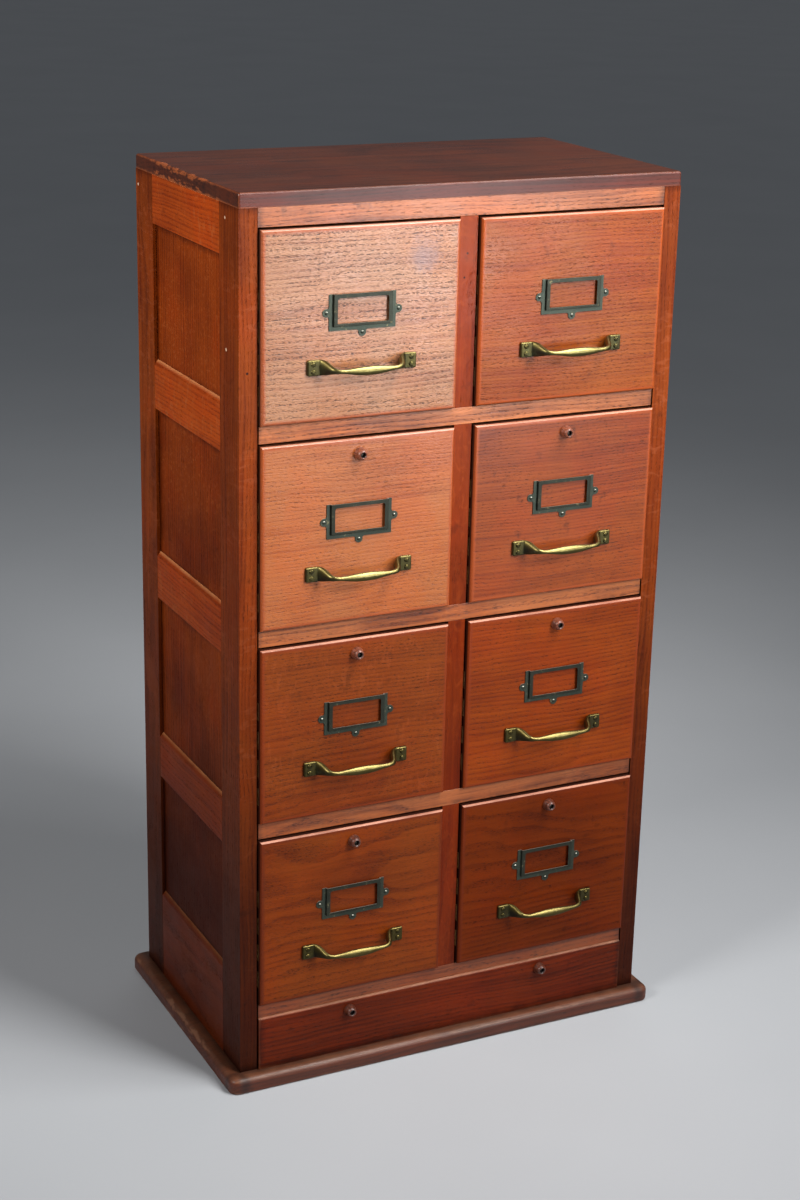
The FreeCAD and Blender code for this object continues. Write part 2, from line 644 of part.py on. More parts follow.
# card frame: a flange with three ears, and a raised face round the window, open at the top
cz = zf0 + S["card_up"]
card_body = body("CardFrame")
hw, hh = S["card_width"] / 2, S["card_high"] / 2
sk = sketch(card_body, "CardFlangeOutline", "XZ_Plane")
polygon(sk, [(-hw, -hh), (hw, -hh), (hw, hh), (-hw, hh)])
doc.recompute()
pad(card_body, "CardFlange", sk, S["card_sheet"])
for tag, u, v in (("Left", -hw - S["ear_out"], 0), ("Right", hw + S["ear_out"], 0), ("Low", 0, -hh - S["ear_out"])):
    sk = sketch(card_body, "CardEarOutline" + tag, "XZ_Plane")
    circle(sk, u, v, S["ear_radius"])
    doc.recompute()
    pad(card_body, "CardEar" + tag, sk, S["card_sheet"])
# the flange swells out to each ear
for tag in ("Left", "Right", "Low"):
    sk = sketch(card_body, "CardShoulderOutline" + tag, "XZ_Plane")
    far, near, a, b = S["ear_out"] * 0.6, S["ear_radius"] * 0.86, S["ear_root"] / 2, S["ear_root"] * 0.41
    if tag == "Low":
        outline = [(-a, -hh), (-b, -hh - 0.5), (-near, -hh - far), (near, -hh - far), (b, -hh - 0.5), (a, -hh)]
    elif tag == "Right":
        outline = [(hw, -a), (hw + 0.5, -b), (hw + far, -near), (hw + far, near), (hw + 0.5, b), (hw, a)]
    else:
        outline = [(-hw, a), (-hw - 0.5, b), (-hw - far, near), (-hw - far, -near), (-hw - 0.5, -b), (-hw, -a)]
    polygon(sk, outline)
    doc.recompute()
    pad(card_body, "CardShoulder" + tag, sk, S["card_sheet"])
fw = hw - S["card_flange"]
flow = -hh + S["card_flange"]
sk = sketch(card_body, "CardFaceOutline", "XZ_Plane")
polygon(sk, [(-fw, flow), (fw, flow), (fw, hh), (-fw, hh)])
doc.recompute()
raised = pad(card_body, "CardFace", sk, S["card_raise"])
f = ease(card_body, "CardFaceEdges", raised,
         lambda e: at(e, 1, -S["card_raise"]) and not at(e, 2, hh), 0.6)
sk = sketch(card_body, "CardSlotOutline", "XZ_Plane")
sh = S["card_sheet"]
polygon(sk, [(-fw + sh, flow + sh), (fw - sh, flow + sh), (fw - sh, hh + 1), (-fw + sh, hh + 1)])
doc.recompute()
pocket(card_body, "CardSlot", sk, S["card_raise"] - sh, back=True)
sk = sketch(card_body, "CardWindowOutline", "XZ_Plane", S["card_raise"] + 0.5)
wx = fw - S["card_bar"]
w0, w1 = flow + S["card_bar_low"], hh - S["card_bar_top"]
polygon(sk, [(-wx + 0.6, w0), (wx - 0.6, w0), (wx, w0 + 0.6), (wx, w1 - 2.2), (wx - 0.65, w1 - 0.65), (wx - 2.2, w1),
             (-wx + 2.2, w1), (-wx + 0.65, w1 - 0.65), (-wx, w1 - 2.2), (-wx, w0 + 0.6)])
doc.recompute()
pocket(card_body, "CardWindow", sk, S["card_raise"] + 1.0)
place(card_body, column, face_y, cz)
card_pins = [fixing("CardPin" + tag, pin_body, column + u, face_y - S["card_sheet"], cz + v)
             for tag, u, v in (("Left", -hw - S["ear_out"], 0), ("Right", hw + S["ear_out"], 0),
                               ("Low", 0, -hh - S["ear_out"]))]
card_frame = cut("CardFramePierced", card_body, card_pins)
card_set = group("CardSet", [card_frame] + card_pins)

# turned button on the face, near the top edge
bz = zf1 - S["button_down"]
button = fixing("Button", button_body, column, face_y, bz)
nail = fixing("ButtonNailPlaced", nail_body, column, face_y, bz)
button_set = group("ButtonSet", [button, nail])

# front: a board with eased face edges, then the sockets, groove and pilot holes


def front_board(tag):
    b = body("DrawerFront" + tag)
    sk = sketch(b, "DrawerFrontOutline" + tag, "XZ_Plane", -face_y)
    polygon(sk, [(dx0, zf0), (dx1, zf0), (dx1, zf1), (dx0, zf1)])
    doc.recompute()
    f = pad(b, "DrawerFrontPad" + tag, sk, S["front_thick"], back=True)
    ease(b, "DrawerFrontEdge" + tag, f, lambda e: at(e, 1, face_y), S["front_ease"])
    return b


front_plain = cut("FrontPlain", front_board("Plain"), sides + [bottom] + pull_screws + card_pins)
front_button = cut("FrontWithButtonHole", front_board("Button"), sides + [bottom] + pull_screws + card_pins + [nail])

# follower: a leaning plate on a wedge foot, standing on the drawer bottom
fz = zs + S["bottom_up"] + S["bottom_thick"] + S["follow_gap"]
fy = back_in - S["follow_place"]
plate_body = body("FollowerPlate")
sk = sketch(plate_body, "FollowerPlateOutline", "YZ_Plane", column - S["follow_width"] / 2)
lean, thick, tall = S["follow_lean"], S["follow_thick"], S["follow_high"]
polygon(sk, [(fy, fz), (fy + thick, fz), (fy + thick + lean, fz + tall), (fy + lean, fz + tall)])
doc.recompute()
f = pad(plate_body, "FollowerPlatePad", sk, S["follow_width"])
ease(plate_body, "FollowerPlateCorners", f,
     lambda e: low(e, 2) > fz.value + tall.value - 0.1 and high(e, 0) - low(e, 0) < 0.1 and high(e, 1) - low(e, 1) > 5, 12.0)
foot_body = body("FollowerFoot")
sk = sketch(foot_body, "FollowerFootOutline", "YZ_Plane", column - S["follow_foot_width"] / 2)
polygon(sk, [(fy + thick, fz), (fy + S["follow_foot_long"], fz), (fy + S["follow_foot_long"], fz + 9),
             (fy + thick + lean * (76.0 / 118.0), fz + 76.0 / 118.0 * tall)])
doc.recompute()
pad(foot_body, "FollowerFootPad", sk, S["follow_foot_width"])
follower = group("FollowerSet", [plate_body, foot_body])

# ---------------------------------------------------------------- carcass nodes
doc.recompute()
node(group("SideStiles", [front_stile, rear_stile, mirror("FrontStileLeft", front_stile),
                          mirror("RearStileLeft", rear_stile)]), "side_stiles")
node(group("SideRails", side_rails + [mirror("SideRailLeft%d" % (k + 1), r) for k, r in enumerate(side_rails)]), "side_rails")
node(group("SidePanels", panels + [mirror("SidePanelLeft%d" % (k + 1), p) for k, p in enumerate(panels)]), "side_panels")
node(group("FrontRails", front_rails), "front_rails")
node(group("CenterMuntins", muntins), "center_muntins")
node(partition, "center_partition")
node(group("DrawerRunners", runners), "drawer_runners")
node(group("DrawerStops", stops), "drawer_stops")
node(group("BackBoards", back_boards), "back_boards")

# kick board and its two buttons
kick_buttons = []
for tag, sgn in (("L", -1), ("R", 1)):
    at_place = (column * sgn, front - S["kick_proud"], z_kick - S["kick_button_down"])
    kick_buttons += [fixing("KickButton" + tag, button_body, *at_place), fixing("KickNail" + tag, nail_body, *at_place)]
node(cut("KickBoardPierced", kick_body, kick_buttons[1::2]), "kick_board")
node(group("KickButtons", kick_buttons), "kick_buttons")

# ---------------------------------------------------------------- the eight drawers
for r in range(4):
    for c in (1, 2):
        name = "r%dc%d" % (r + 1, c)
        shift_x = size(0) if c == 2 else -column * 2
        shift_z = -pitch * r
        wood = front_plain if r == 0 else front_button
        for part, source in (("front", wood), ("box", drawer_box), ("pull", pull), ("card_frame", card_set),
                             ("follower", follower)):
            node(group("%s_%s" % (part, name), [source], shift_x, 0, shift_z), "%s_%s" % (name, part))
        if r > 0:
            node(group("button_%s" % name, [button_set], shift_x, 0, shift_z), "%s_button" % name)

doc.recompute()

# ---------------------------------------------------------------- check and write
for obj in doc.Objects:
    if "Invalid" in obj.State or "Error" in obj.State:
        raise RuntimeError("%s did not compute" % obj.Name)
os.makedirs("parts", exist_ok=True)
total = 0
for obj, name in NODES:
    shape = obj.Shape
    if shape.isNull() or not shape.isValid() or not shape.Solids:
        raise RuntimeError("%s has no valid solid" % name)
    solids = shape.Solids
    for s in solids:
        if s.Volume < 1.0 or not s.isValid():
            raise RuntimeError("%s holds a bad solid" % name)
    total += len(solids)
    out = solids[0] if len(solids) == 1 else Part.makeCompound(solids)
    out.exportStep("parts/%s.step" % name)
    bb = shape.BoundBox
    print("%-18s %3d solids  volume %12.1f  x %.1f..%.1f y %.1f..%.1f z %.1f..%.1f" % (
        name, len(solids), sum(s.Volume for s in solids), bb.XMin, bb.XMax, bb.YMin, bb.YMax, bb.ZMin, bb.ZMax))
print("%d nodes, %d solids" % (len(NODES), total))
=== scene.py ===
import json
import math

import bmesh
import bpy
import numpy as np
from mathutils import Matrix, Vector

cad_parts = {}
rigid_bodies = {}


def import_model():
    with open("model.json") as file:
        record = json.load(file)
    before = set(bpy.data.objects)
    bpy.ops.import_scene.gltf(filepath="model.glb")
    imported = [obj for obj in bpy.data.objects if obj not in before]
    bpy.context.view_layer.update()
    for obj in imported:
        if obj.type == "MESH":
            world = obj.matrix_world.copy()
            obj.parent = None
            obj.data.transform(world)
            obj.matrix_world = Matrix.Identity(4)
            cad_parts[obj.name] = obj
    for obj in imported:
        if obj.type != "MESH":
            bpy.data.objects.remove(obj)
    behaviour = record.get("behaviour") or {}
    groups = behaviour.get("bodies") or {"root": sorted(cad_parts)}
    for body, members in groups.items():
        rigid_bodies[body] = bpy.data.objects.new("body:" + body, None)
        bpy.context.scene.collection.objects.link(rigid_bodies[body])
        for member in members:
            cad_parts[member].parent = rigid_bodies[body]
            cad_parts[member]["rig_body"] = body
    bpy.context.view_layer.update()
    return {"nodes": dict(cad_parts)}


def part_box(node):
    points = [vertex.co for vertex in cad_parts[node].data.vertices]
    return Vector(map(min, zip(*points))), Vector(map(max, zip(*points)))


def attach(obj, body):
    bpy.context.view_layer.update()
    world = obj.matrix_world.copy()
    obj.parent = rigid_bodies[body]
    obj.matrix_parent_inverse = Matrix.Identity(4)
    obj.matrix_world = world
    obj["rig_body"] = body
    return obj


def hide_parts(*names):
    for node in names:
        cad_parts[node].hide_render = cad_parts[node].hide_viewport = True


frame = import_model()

NODES = frame["nodes"]
ROWS, COLS = (1, 2, 3, 4), (1, 2)
DRAWERS = ["r%dc%d" % (r, c) for r in ROWS for c in COLS]


# ------------------------------------------------------------------ camera
def place_camera():
    """Front left of the cabinet, above it and looking down, with the verticals converging."""
    rx, ry, rz = -0.331, -0.023, -0.460
    turn = (Matrix.Rotation(rz, 3, "Z") @ Matrix.Rotation(rx, 3, "X") @ Matrix.Rotation(ry, 3, "Y"))
    right, ahead, up = turn.col[0], turn.col[1], turn.col[2]
    m = Matrix((right, up, -ahead)).transposed().to_4x4()
    m.translation = Vector((-1.10285, -2.23506, 1.37124))
    data = bpy.data.cameras.new("camera")
    data.sensor_fit = "VERTICAL"
    data.sensor_height = 36.0
    data.lens = 2203.1 / 1200.0 * 36.0
    data.clip_start = 0.05
    data.clip_end = 60.0
    cam = bpy.data.objects.new("camera", data)
    cam.matrix_world = m
    bpy.context.scene.collection.objects.link(cam)
    bpy.context.scene.camera = cam


place_camera()


# ------------------------------------------------------------------ node helpers
class Tree:
    """A short way to write a material's nodes."""

    def __init__(self, name):
        self.mat = bpy.data.materials.new(name)
        self.mat.use_nodes = True
        self.nt = self.mat.node_tree
        self.nt.nodes.clear()

    def new(self, kind, **props):
        n = self.nt.nodes.new(kind)
        for k, v in props.items():
            setattr(n, k, v)
        return n

    def put(self, socket, value):
        if isinstance(value, bpy.types.NodeSocket):
            self.nt.links.new(value, socket)
        elif value is not None:
            socket.default_value = value

    def math(self, op, a, b=None, c=None, clamp=False):
        n = self.new("ShaderNodeMath", operation=op, use_clamp=clamp)
        for s, v in zip(n.inputs, (a, b, c)):
            self.put(s, v)
        return n.outputs[0]

    def vmath(self, op, a, b=None, scale=None):
        n = self.new("ShaderNodeVectorMath", operation=op)
        self.put(n.inputs[0], a)
        self.put(n.inputs[1], b)
        if scale is not None:
            self.put(n.inputs["Scale"], scale)
        return n.outputs["Value"] if op in ("LENGTH", "DISTANCE", "DOT_PRODUCT") else n.outputs[0]

    def sep(self, v):
        n = self.new("ShaderNodeSeparateXYZ")
        self.put(n.inputs[0], v)
        return n.outputs[0], n.outputs[1], n.outputs[2]

    def comb(self, x, y, z):
        n = self.new("ShaderNodeCombineXYZ")
        for s, v in zip(n.inputs, (x, y, z)):
            self.put(s, v)
        return n.outputs[0]

    def stretch(self, v, sx, sy, sz):
        return self.vmath("MULTIPLY", v, (sx, sy, sz))

    def noise(self, v, scale=1.0, detail=2.0, rough=0.5, warp=0.0, color=False):
        n = self.new("ShaderNodeTexNoise", noise_dimensions="3D")
        self.put(n.inputs["Vector"], v)
        self.put(n.inputs["Scale"], scale)
        self.put(n.inputs["Detail"], detail)
        self.put(n.inputs["Roughness"], rough)
        self.put(n.inputs["Distortion"], warp)
        return n.outputs["Color"] if color else n.outputs["Fac"]

    def span(self, v, a, b, c=0.0, d=1.0):
        n = self.new("ShaderNodeMapRange", interpolation_type="SMOOTHSTEP", clamp=True)
        for s, x in zip(n.inputs, (v, a, b, c, d)):
            self.put(s, x)
        return n.outputs[0]

    def ramp(self, v, stops, ease="LINEAR"):
        n = self.new("ShaderNodeValToRGB")
        n.color_ramp.interpolation = ease
        while len(n.color_ramp.elements) < len(stops):
            n.color_ramp.elements.new(0.5)
        for e, (p, c) in zip(n.color_ramp.elements, stops):
            e.position = p
            e.color = (c, c, c, 1.0) if isinstance(c, (int, float)) else (*c, 1.0)
        self.put(n.inputs[0], v)
        return n.outputs[0]

    def mix(self, f, a, b, mode="MIX"):
        n = self.new("ShaderNodeMix", data_type="RGBA", blend_type=mode, clamp_factor=True)
        self.put(n.inputs[0], f)
        for s, v in ((n.inputs[6], a), (n.inputs[7], b)):
            self.put(s, (*v, 1.0) if isinstance(v, tuple) and len(v) == 3 else v)
        return n.outputs[2]

    def bump(self, height, strength, distance, normal=None):
        n = self.new("ShaderNodeBump")
        self.put(n.inputs["Strength"], strength)
        self.put(n.inputs["Distance"], distance)
        self.put(n.inputs["Height"], height)
        if normal is not None:
            self.put(n.inputs["Normal"], normal)
        return n.outputs[0]

    def finish(self, **sockets):
        s = self.new("ShaderNodeBsdfPrincipled")
        o = self.new("ShaderNodeOutputMaterial")
        self.nt.links.new(s.outputs[0], o.inputs[0])
        for k, v in sockets.items():
            self.put(s.inputs[k.replace("_", " ")], v)
        return self.mat


def lin(r, g, b):
    """Linear colour from 0..255 screen values."""
    return tuple(c / 12.92 if c <= 0.04045 else ((c + 0.055) / 1.055) ** 2.4 for c in (r / 255.0, g / 255.0, b / 255.0))


# ------------------------------------------------------------------ oak
def oak(name, order, light, dark, pore, centre=(0.0, 0.15), spacing=0.0034, rings=0.45, pores=0.8,
        pore_long=0.006, pore_wide=0.0009, rays=0.0, ray_tone=None, ray_size=(150.0, 60.0, 60.0), blotch=0.35, smudge=0.25, rough=0.38, coat=0.10,
        coat_rough=0.22, bump=0.5, seed=0.0, cell=None, wear=None, painted_floor_shade=None, spots=(), fibre=0.16, sheen_noise=0.14,
        switch=None, swirl=1.0, cut=0.56, between=0.20, level=0.35, dust_and_highlight=None, painted_gap_shade=None, painted_edge_shade=None, painted_crest_highlight=None, painted_front_edge_shade=None, vivid=0.65, figure=1.0, painted_joint_shade=None, tune=(1.0, 1.0, 1.0)):
    """Stained oak.  order says which axes run along the grain, across the face and into it.
    centre is where the heart of the log lies across and into the board."""
    light, dark, pore = [tuple(min(c * k, 0.95) for c, k in zip(v, tune)) for v in (light, dark, pore)]
    t = Tree(name)
    coords = t.new("ShaderNodeTexCoord")
    where, facing = coords.outputs["Object"], coords.outputs["Normal"]
    x, y, z = t.sep(where)
    axes = {"X": x, "Y": y, "Z": z}
    base = t.comb(*[axes[a] for a in order])
    if switch is not None:                      # a second grain direction where the mask is 1
        mask, other = switch(t, x, y, z)
        alt = t.comb(*[axes[a] for a in other])
        n = t.new("ShaderNodeMix", data_type="VECTOR")
        t.put(n.inputs[0], mask)
        t.put(n.inputs[4], base)
        t.put(n.inputs[5], alt)
        base = n.outputs[1]
    if cell is not None:                        # each board in a node gets its own piece of the log
        size, origin = cell
        idx = t.vmath("FLOOR", t.vmath("DIVIDE", t.vmath("SUBTRACT", where, origin), size))
        wn = t.new("ShaderNodeTexWhiteNoise", noise_dimensions="3D")
        t.put(wn.inputs["Vector"], t.vmath("ADD", idx, (seed + 3.1, 1.7, 5.3)))
        board = t.vmath("MULTIPLY", t.vmath("SUBTRACT", wn.outputs["Color"], (0.5, 0.5, 0.5)), (3.0, 0.10, 0.05))
        board_tone = wn.outputs["Value"]
        base = t.vmath("ADD", base, board)
    else:
        board_tone = None
    grain = t.vmath("ADD", base, (seed * 1.71, seed * 0.013, seed * 0.007))
    slow = t.noise(t.stretch(grain, 3.2, 11.0, 11.0), detail=2.0, color=True)
    slow = t.vmath("MULTIPLY", t.vmath("SUBTRACT", slow, (0.5, 0.5, 0.5)), (0.0, 0.022 * swirl, 0.022 * swirl))
    fine = t.noise(t.stretch(grain, 34.0, 80.0, 80.0), detail=1.0, color=True)
    fine = t.vmath("MULTIPLY", t.vmath("SUBTRACT", fine, (0.5, 0.5, 0.5)), (0.0, 0.0016, 0.0016))
    log = t.vmath("ADD", t.vmath("ADD", grain, slow), fine)
    u, v, w = t.sep(log)
    # growth rings round the heart
    dv = t.math("SUBTRACT", v, centre[0] + seed * 0.013)
    dw = t.math("SUBTRACT", w, centre[1] + seed * 0.007)
    radius = t.math("SQRT", t.math("ADD", t.math("MULTIPLY", dv, dv), t.math("MULTIPLY", dw, dw)))
    wide = t.noise(t.comb(t.math("MULTIPLY", radius, 55.0), 0.0, 0.0), detail=1.0)
    phase = t.math("ADD", t.math("DIVIDE", radius, spacing), t.math("MULTIPLY", wide, 2.2))
    year = t.math("FRACT", phase)
    early = t.ramp(year, [(0.0, 1.0), (0.20, 0.75), (0.50, 0.08), (0.90, 0.0), (1.0, 0.95)])
    # open pores, short dark dashes along the grain, thickest in the early wood
    dash = t.noise(t.stretch(log, 1.0 / pore_long, 1.0 / pore_wide, 1.0 / pore_wide), detail=1.0, rough=0.4)
    dash = t.span(dash, cut, cut + 0.11)
    patch = t.noise(t.stretch(log, 14.0, 40.0, 40.0), detail=2.0)
    patch = t.span(patch, 0.30, 0.60, 0.45, 1.0)
    hole = t.math("MULTIPLY", t.math("MULTIPLY", dash, t.math("ADD", t.math("MULTIPLY", early, 1.0 - between), between)), patch)
    thread = t.noise(t.stretch(log, 30.0, 1500.0, 1500.0), detail=2.0, rough=0.6)
    streak = t.noise(t.stretch(log, 5.0, 190.0, 190.0), detail=3.0, rough=0.6)
    cloud = t.noise(t.vmath("ADD", where, (seed, seed * 0.3, 0.0)), scale=7.0, detail=3.0, rough=0.55)
    dirt = t.noise(t.vmath("ADD", where, (0.0, seed, seed * 0.7)), scale=48.0, detail=3.0, rough=0.6)
    band = t.noise(t.stretch(log, 2.4, 75.0, 75.0), detail=3.0, rough=0.55)
    tone = t.math("ADD", t.math("MULTIPLY", early, rings), t.math("MULTIPLY", t.math("SUBTRACT", streak, 0.48), 1.7 * figure))
    tone = t.math("ADD", tone, t.math("MULTIPLY", t.math("SUBTRACT", band, 0.48), 1.3 * figure))
    tone = t.math("ADD", tone, t.math("MULTIPLY", t.math("SUBTRACT", thread, 0.5), fibre * 3.0))
    tone = t.math("ADD", tone, t.math("MULTIPLY", t.span(cloud, 0.35, 0.70), blotch), clamp=True)
    col = t.mix(tone, light, dark)
    drift = t.noise(t.vmath("ADD", t.stretch(where, 1.0, 1.0, 1.0), (seed * 2.0, 4.0, seed)), scale=11.0, detail=3.0, rough=0.6)
    col = t.mix(t.math("MULTIPLY", t.span(drift, 0.42, 0.66), vivid), col, t.mix(1.0, col, (1.10, 0.86, 0.56), "MULTIPLY"))
    if board_tone is not None:
        col = t.mix(t.math("MULTIPLY", board_tone, 0.35), col, dark)
    if rays:
        ray = t.noise(t.vmath("ADD", t.stretch(log, *ray_size), (7.0, 3.0, 1.0)), detail=2.0, rough=0.5, warp=0.9)
        ray = t.math("MULTIPLY", t.span(ray, 0.52, 0.70), t.span(cloud, 0.62, 0.40, 0.25, 1.0))
        col = t.mix(t.math("MULTIPLY", ray, rays), col, ray_tone or light)
    col = t.mix(t.math("MULTIPLY", hole, pores), col, pore)
    col = t.mix(t.math("MULTIPLY", t.span(dirt, 0.62, 0.76), smudge), col, pore)
    rub = None
    if painted_edge_shade is not None:                      # painted shade: a darker, redder band along the rounded edges, where they turn away from the sheen
        lo, hi, width, amount, tint = painted_edge_shade
        ex = t.math("SUBTRACT", (hi[0] - lo[0]) / 2.0, t.math("ABSOLUTE", t.math("SUBTRACT", x, (hi[0] + lo[0]) / 2.0)))
        ez = t.math("SUBTRACT", (hi[2] - lo[2]) / 2.0, t.math("ABSOLUTE", t.math("SUBTRACT", z, (hi[2] + lo[2]) / 2.0)))
        near = t.math("ADD", t.math("MINIMUM", ex, ez), t.math("MULTIPLY", t.math("SUBTRACT", streak, 0.5), 0.003))
        col = t.mix(t.math("MULTIPLY", t.span(near, width, width * 0.45), amount), col, tint)
    if painted_crest_highlight is not None:                       # painted highlight: the upper round-over is lightened
        amount, tint = painted_crest_highlight
        nx, ny, nz = t.sep(facing)
        highlight_mask = t.math("MULTIPLY", t.span(nz, 0.26, 0.60), t.span(ny, -0.10, -0.34))
        highlight_mask = t.math("MULTIPLY", highlight_mask, t.span(drift, 0.34, 0.58, 0.45, 1.0))
        col = t.mix(t.math("MULTIPLY", highlight_mask, amount), col, tint)
    ahead = None
    if painted_front_edge_shade is not None:                        # painted shade: the front edge of a board is coloured darker and redder, and made flatter than its face
        nx, ny, nz = t.sep(facing)
        ahead = t.span(ny, -0.55, -0.88)
        col = t.mix(ahead, col, t.mix(1.0, col, painted_front_edge_shade, "MULTIPLY"))
    if painted_gap_shade is not None:                       # painted shade: faces inside the gaps are darkened towards near-black
        nx, ny, nz = t.sep(facing)
        if painted_gap_shade == "front":
            gap_shade_mask = t.span(ny, -0.30, -0.05)
        else:                                   # only the faces that look towards the middle of the cabinet
            gap_shade_mask = t.span(t.math("MULTIPLY", nx, t.math("SIGN", x)), -0.45, -0.80)
        col = t.mix(t.math("MULTIPLY", gap_shade_mask, 0.86), col, lin(30, 16, 12))
    if dust_and_highlight is not None:                       # lighter on the faces that look up: dust and scuffing, and on the side rails' bevels a painted highlight
        amount, tint = dust_and_highlight
        settle = t.noise(where, scale=33.0, detail=4.0, rough=0.65)
        nx, ny, nz = t.sep(facing)
        dust_and_highlight_mask = t.math("MULTIPLY", t.span(nz, 0.25, 0.75), t.span(settle, 0.25, 0.70, 0.45, 1.0))
        col = t.mix(t.math("MULTIPLY", dust_and_highlight_mask, amount), col, tint)
    if wear is not None:                        # rubbed and chipped along the piece's own edges
        lo, hi, width, amount, tint, everywhere = wear
        dx, dy, dz = [t.math("SUBTRACT", (hi[i] - lo[i]) / 2.0,
                             t.math("ABSOLUTE", t.math("SUBTRACT", axes["XYZ"[i]], (hi[i] + lo[i]) / 2.0))) for i in range(3)]
        mid = t.math("MAXIMUM", t.math("MINIMUM", dx, dy), t.math("MINIMUM", t.math("MAXIMUM", dx, dy), dz))
        chip = t.noise(t.stretch(where, 60.0, 60.0, 190.0), detail=3.0, rough=0.6)
        long_chip = t.noise(where, scale=9.0, detail=2.0)
        left = t.math("ADD", t.span(x, lo[0] + 0.030, lo[0] + 0.004, 0.0, 1.0 - everywhere), everywhere)
        some = t.math("MULTIPLY", t.span(long_chip, 0.36, 0.60), left)
        reach = t.math("MULTIPLY", t.math("MULTIPLY", t.span(chip, 0.36, 0.70), some), width)
        rub = t.span(t.math("SUBTRACT", mid, reach), 0.0022, -0.0010)
        rub = t.math("MULTIPLY", t.math("MULTIPLY", rub, t.math("ADD", t.math("MULTIPLY", left, 0.8), 0.2)), amount)
        col = t.mix(rub, col, t.mix(streak, tint, tuple(c * 0.45 for c in tint)))
    if painted_joint_shade is not None:                       # painted shade: darkening along the joints and recess edges
        dist = None
        for axis, at, side in painted_joint_shade:
            a = axes[axis] if not side else t.math("ABSOLUTE", axes[axis])
            one = t.math("ABSOLUTE", t.math("SUBTRACT", a, at))
            dist = one if dist is None else t.math("MINIMUM", dist, one)
        dist = t.math("ADD", dist, t.math("MULTIPLY", t.math("SUBTRACT", dirt, 0.5), 0.012))
        col = t.mix(t.math("MULTIPLY", t.span(dist, 0.011, -0.001), 0.8), col, t.mix(1.0, col, (0.22, 0.18, 0.16), "MULTIPLY"))
    if painted_floor_shade is not None:                        # painted shade: darker towards the floor, where the light falls off
        z0, z1, tint = painted_floor_shade
        col = t.mix(t.span(z, z1, z0), col, t.mix(1.0, col, tint, "MULTIPLY"))
    for px, py, pz, pr, tint in spots:
        away = t.vmath("DISTANCE", where, (px, py, pz))
        if pr > 0.01:                           # a stain, ragged and soft
            away = t.math("ADD", away, t.math("MULTIPLY", t.math("SUBTRACT", dirt, 0.5), pr * 2.2))
            col = t.mix(t.math("MULTIPLY", t.span(away, pr, pr * 0.1), 0.6), col, tint)
        else:
            col = t.mix(t.span(away, pr, pr * 0.55), col, tint)
    gloss = t.noise(where, scale=21.0, detail=3.0, rough=0.6)
    r = t.math("ADD", rough, t.math("MULTIPLY", t.math("SUBTRACT", gloss, 0.5), sheen_noise * 2.0))
    if ahead is not None:
        r = t.math("ADD", r, t.math("MULTIPLY", ahead, 0.30))
    r = t.math("ADD", r, t.math("MULTIPLY", hole, 0.22), clamp=True)
    lift = t.math("SUBTRACT", t.math("MULTIPLY", thread, 0.25), hole)
    lift = t.math("SUBTRACT", lift, t.math("MULTIPLY", early, 0.10))
    lift = t.math("ADD", lift, t.math("MULTIPLY", gloss, 0.35))
    if rub is not None:
        lift = t.math("SUBTRACT", lift, t.math("MULTIPLY", rub, 1.2))
    n = t.bump(lift, bump, 0.00035)
    return t.finish(Base_Color=col, Roughness=r, Normal=n, Coat_Weight=coat, Coat_Roughness=coat_rough,
                    Specular_IOR_Level=level)


def boxed(node):
    lo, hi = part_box(node)
    return tuple(lo), tuple(hi)


# painted shade: tint for the side rails' darkening towards the floor
PAINTED_FOOT_SHADE = (0.20, 0.18, 0.17)
# how strongly each board takes the red, green and blue of its tones: partly the stain, partly painted light, the rails'
# raised green and blue standing in for sheen and the lower rows' smaller values for painted shade where the light falls
# off
TUNE = {
    "r1c1": (0.66, 0.78, 0.79), "r1c2": (0.52, 0.45, 0.17), "r2c1": (0.70, 0.70, 0.52), "r2c2": (0.57, 0.50, 0.16),
    "r3c1": (0.53, 0.52, 0.15), "r3c2": (0.56, 0.48, 0.06), "r4c1": (0.53, 0.54, 0.15), "r4c2": (0.44, 0.40, 0.06),
    "stile": (0.72, 0.74, 0.32), "muntin": (0.52, 0.36, 0.02), "rail": (1.12, 1.42, 1.28), "side_rail": (0.98, 0.78, 0.30),
    "panel": (1.06, 0.88, 0.28), "kick": (0.46, 0.29, 0.04), "base": (0.52, 0.44, 0.30), "top": (0.60, 0.70, 0.56),
}
M = {}
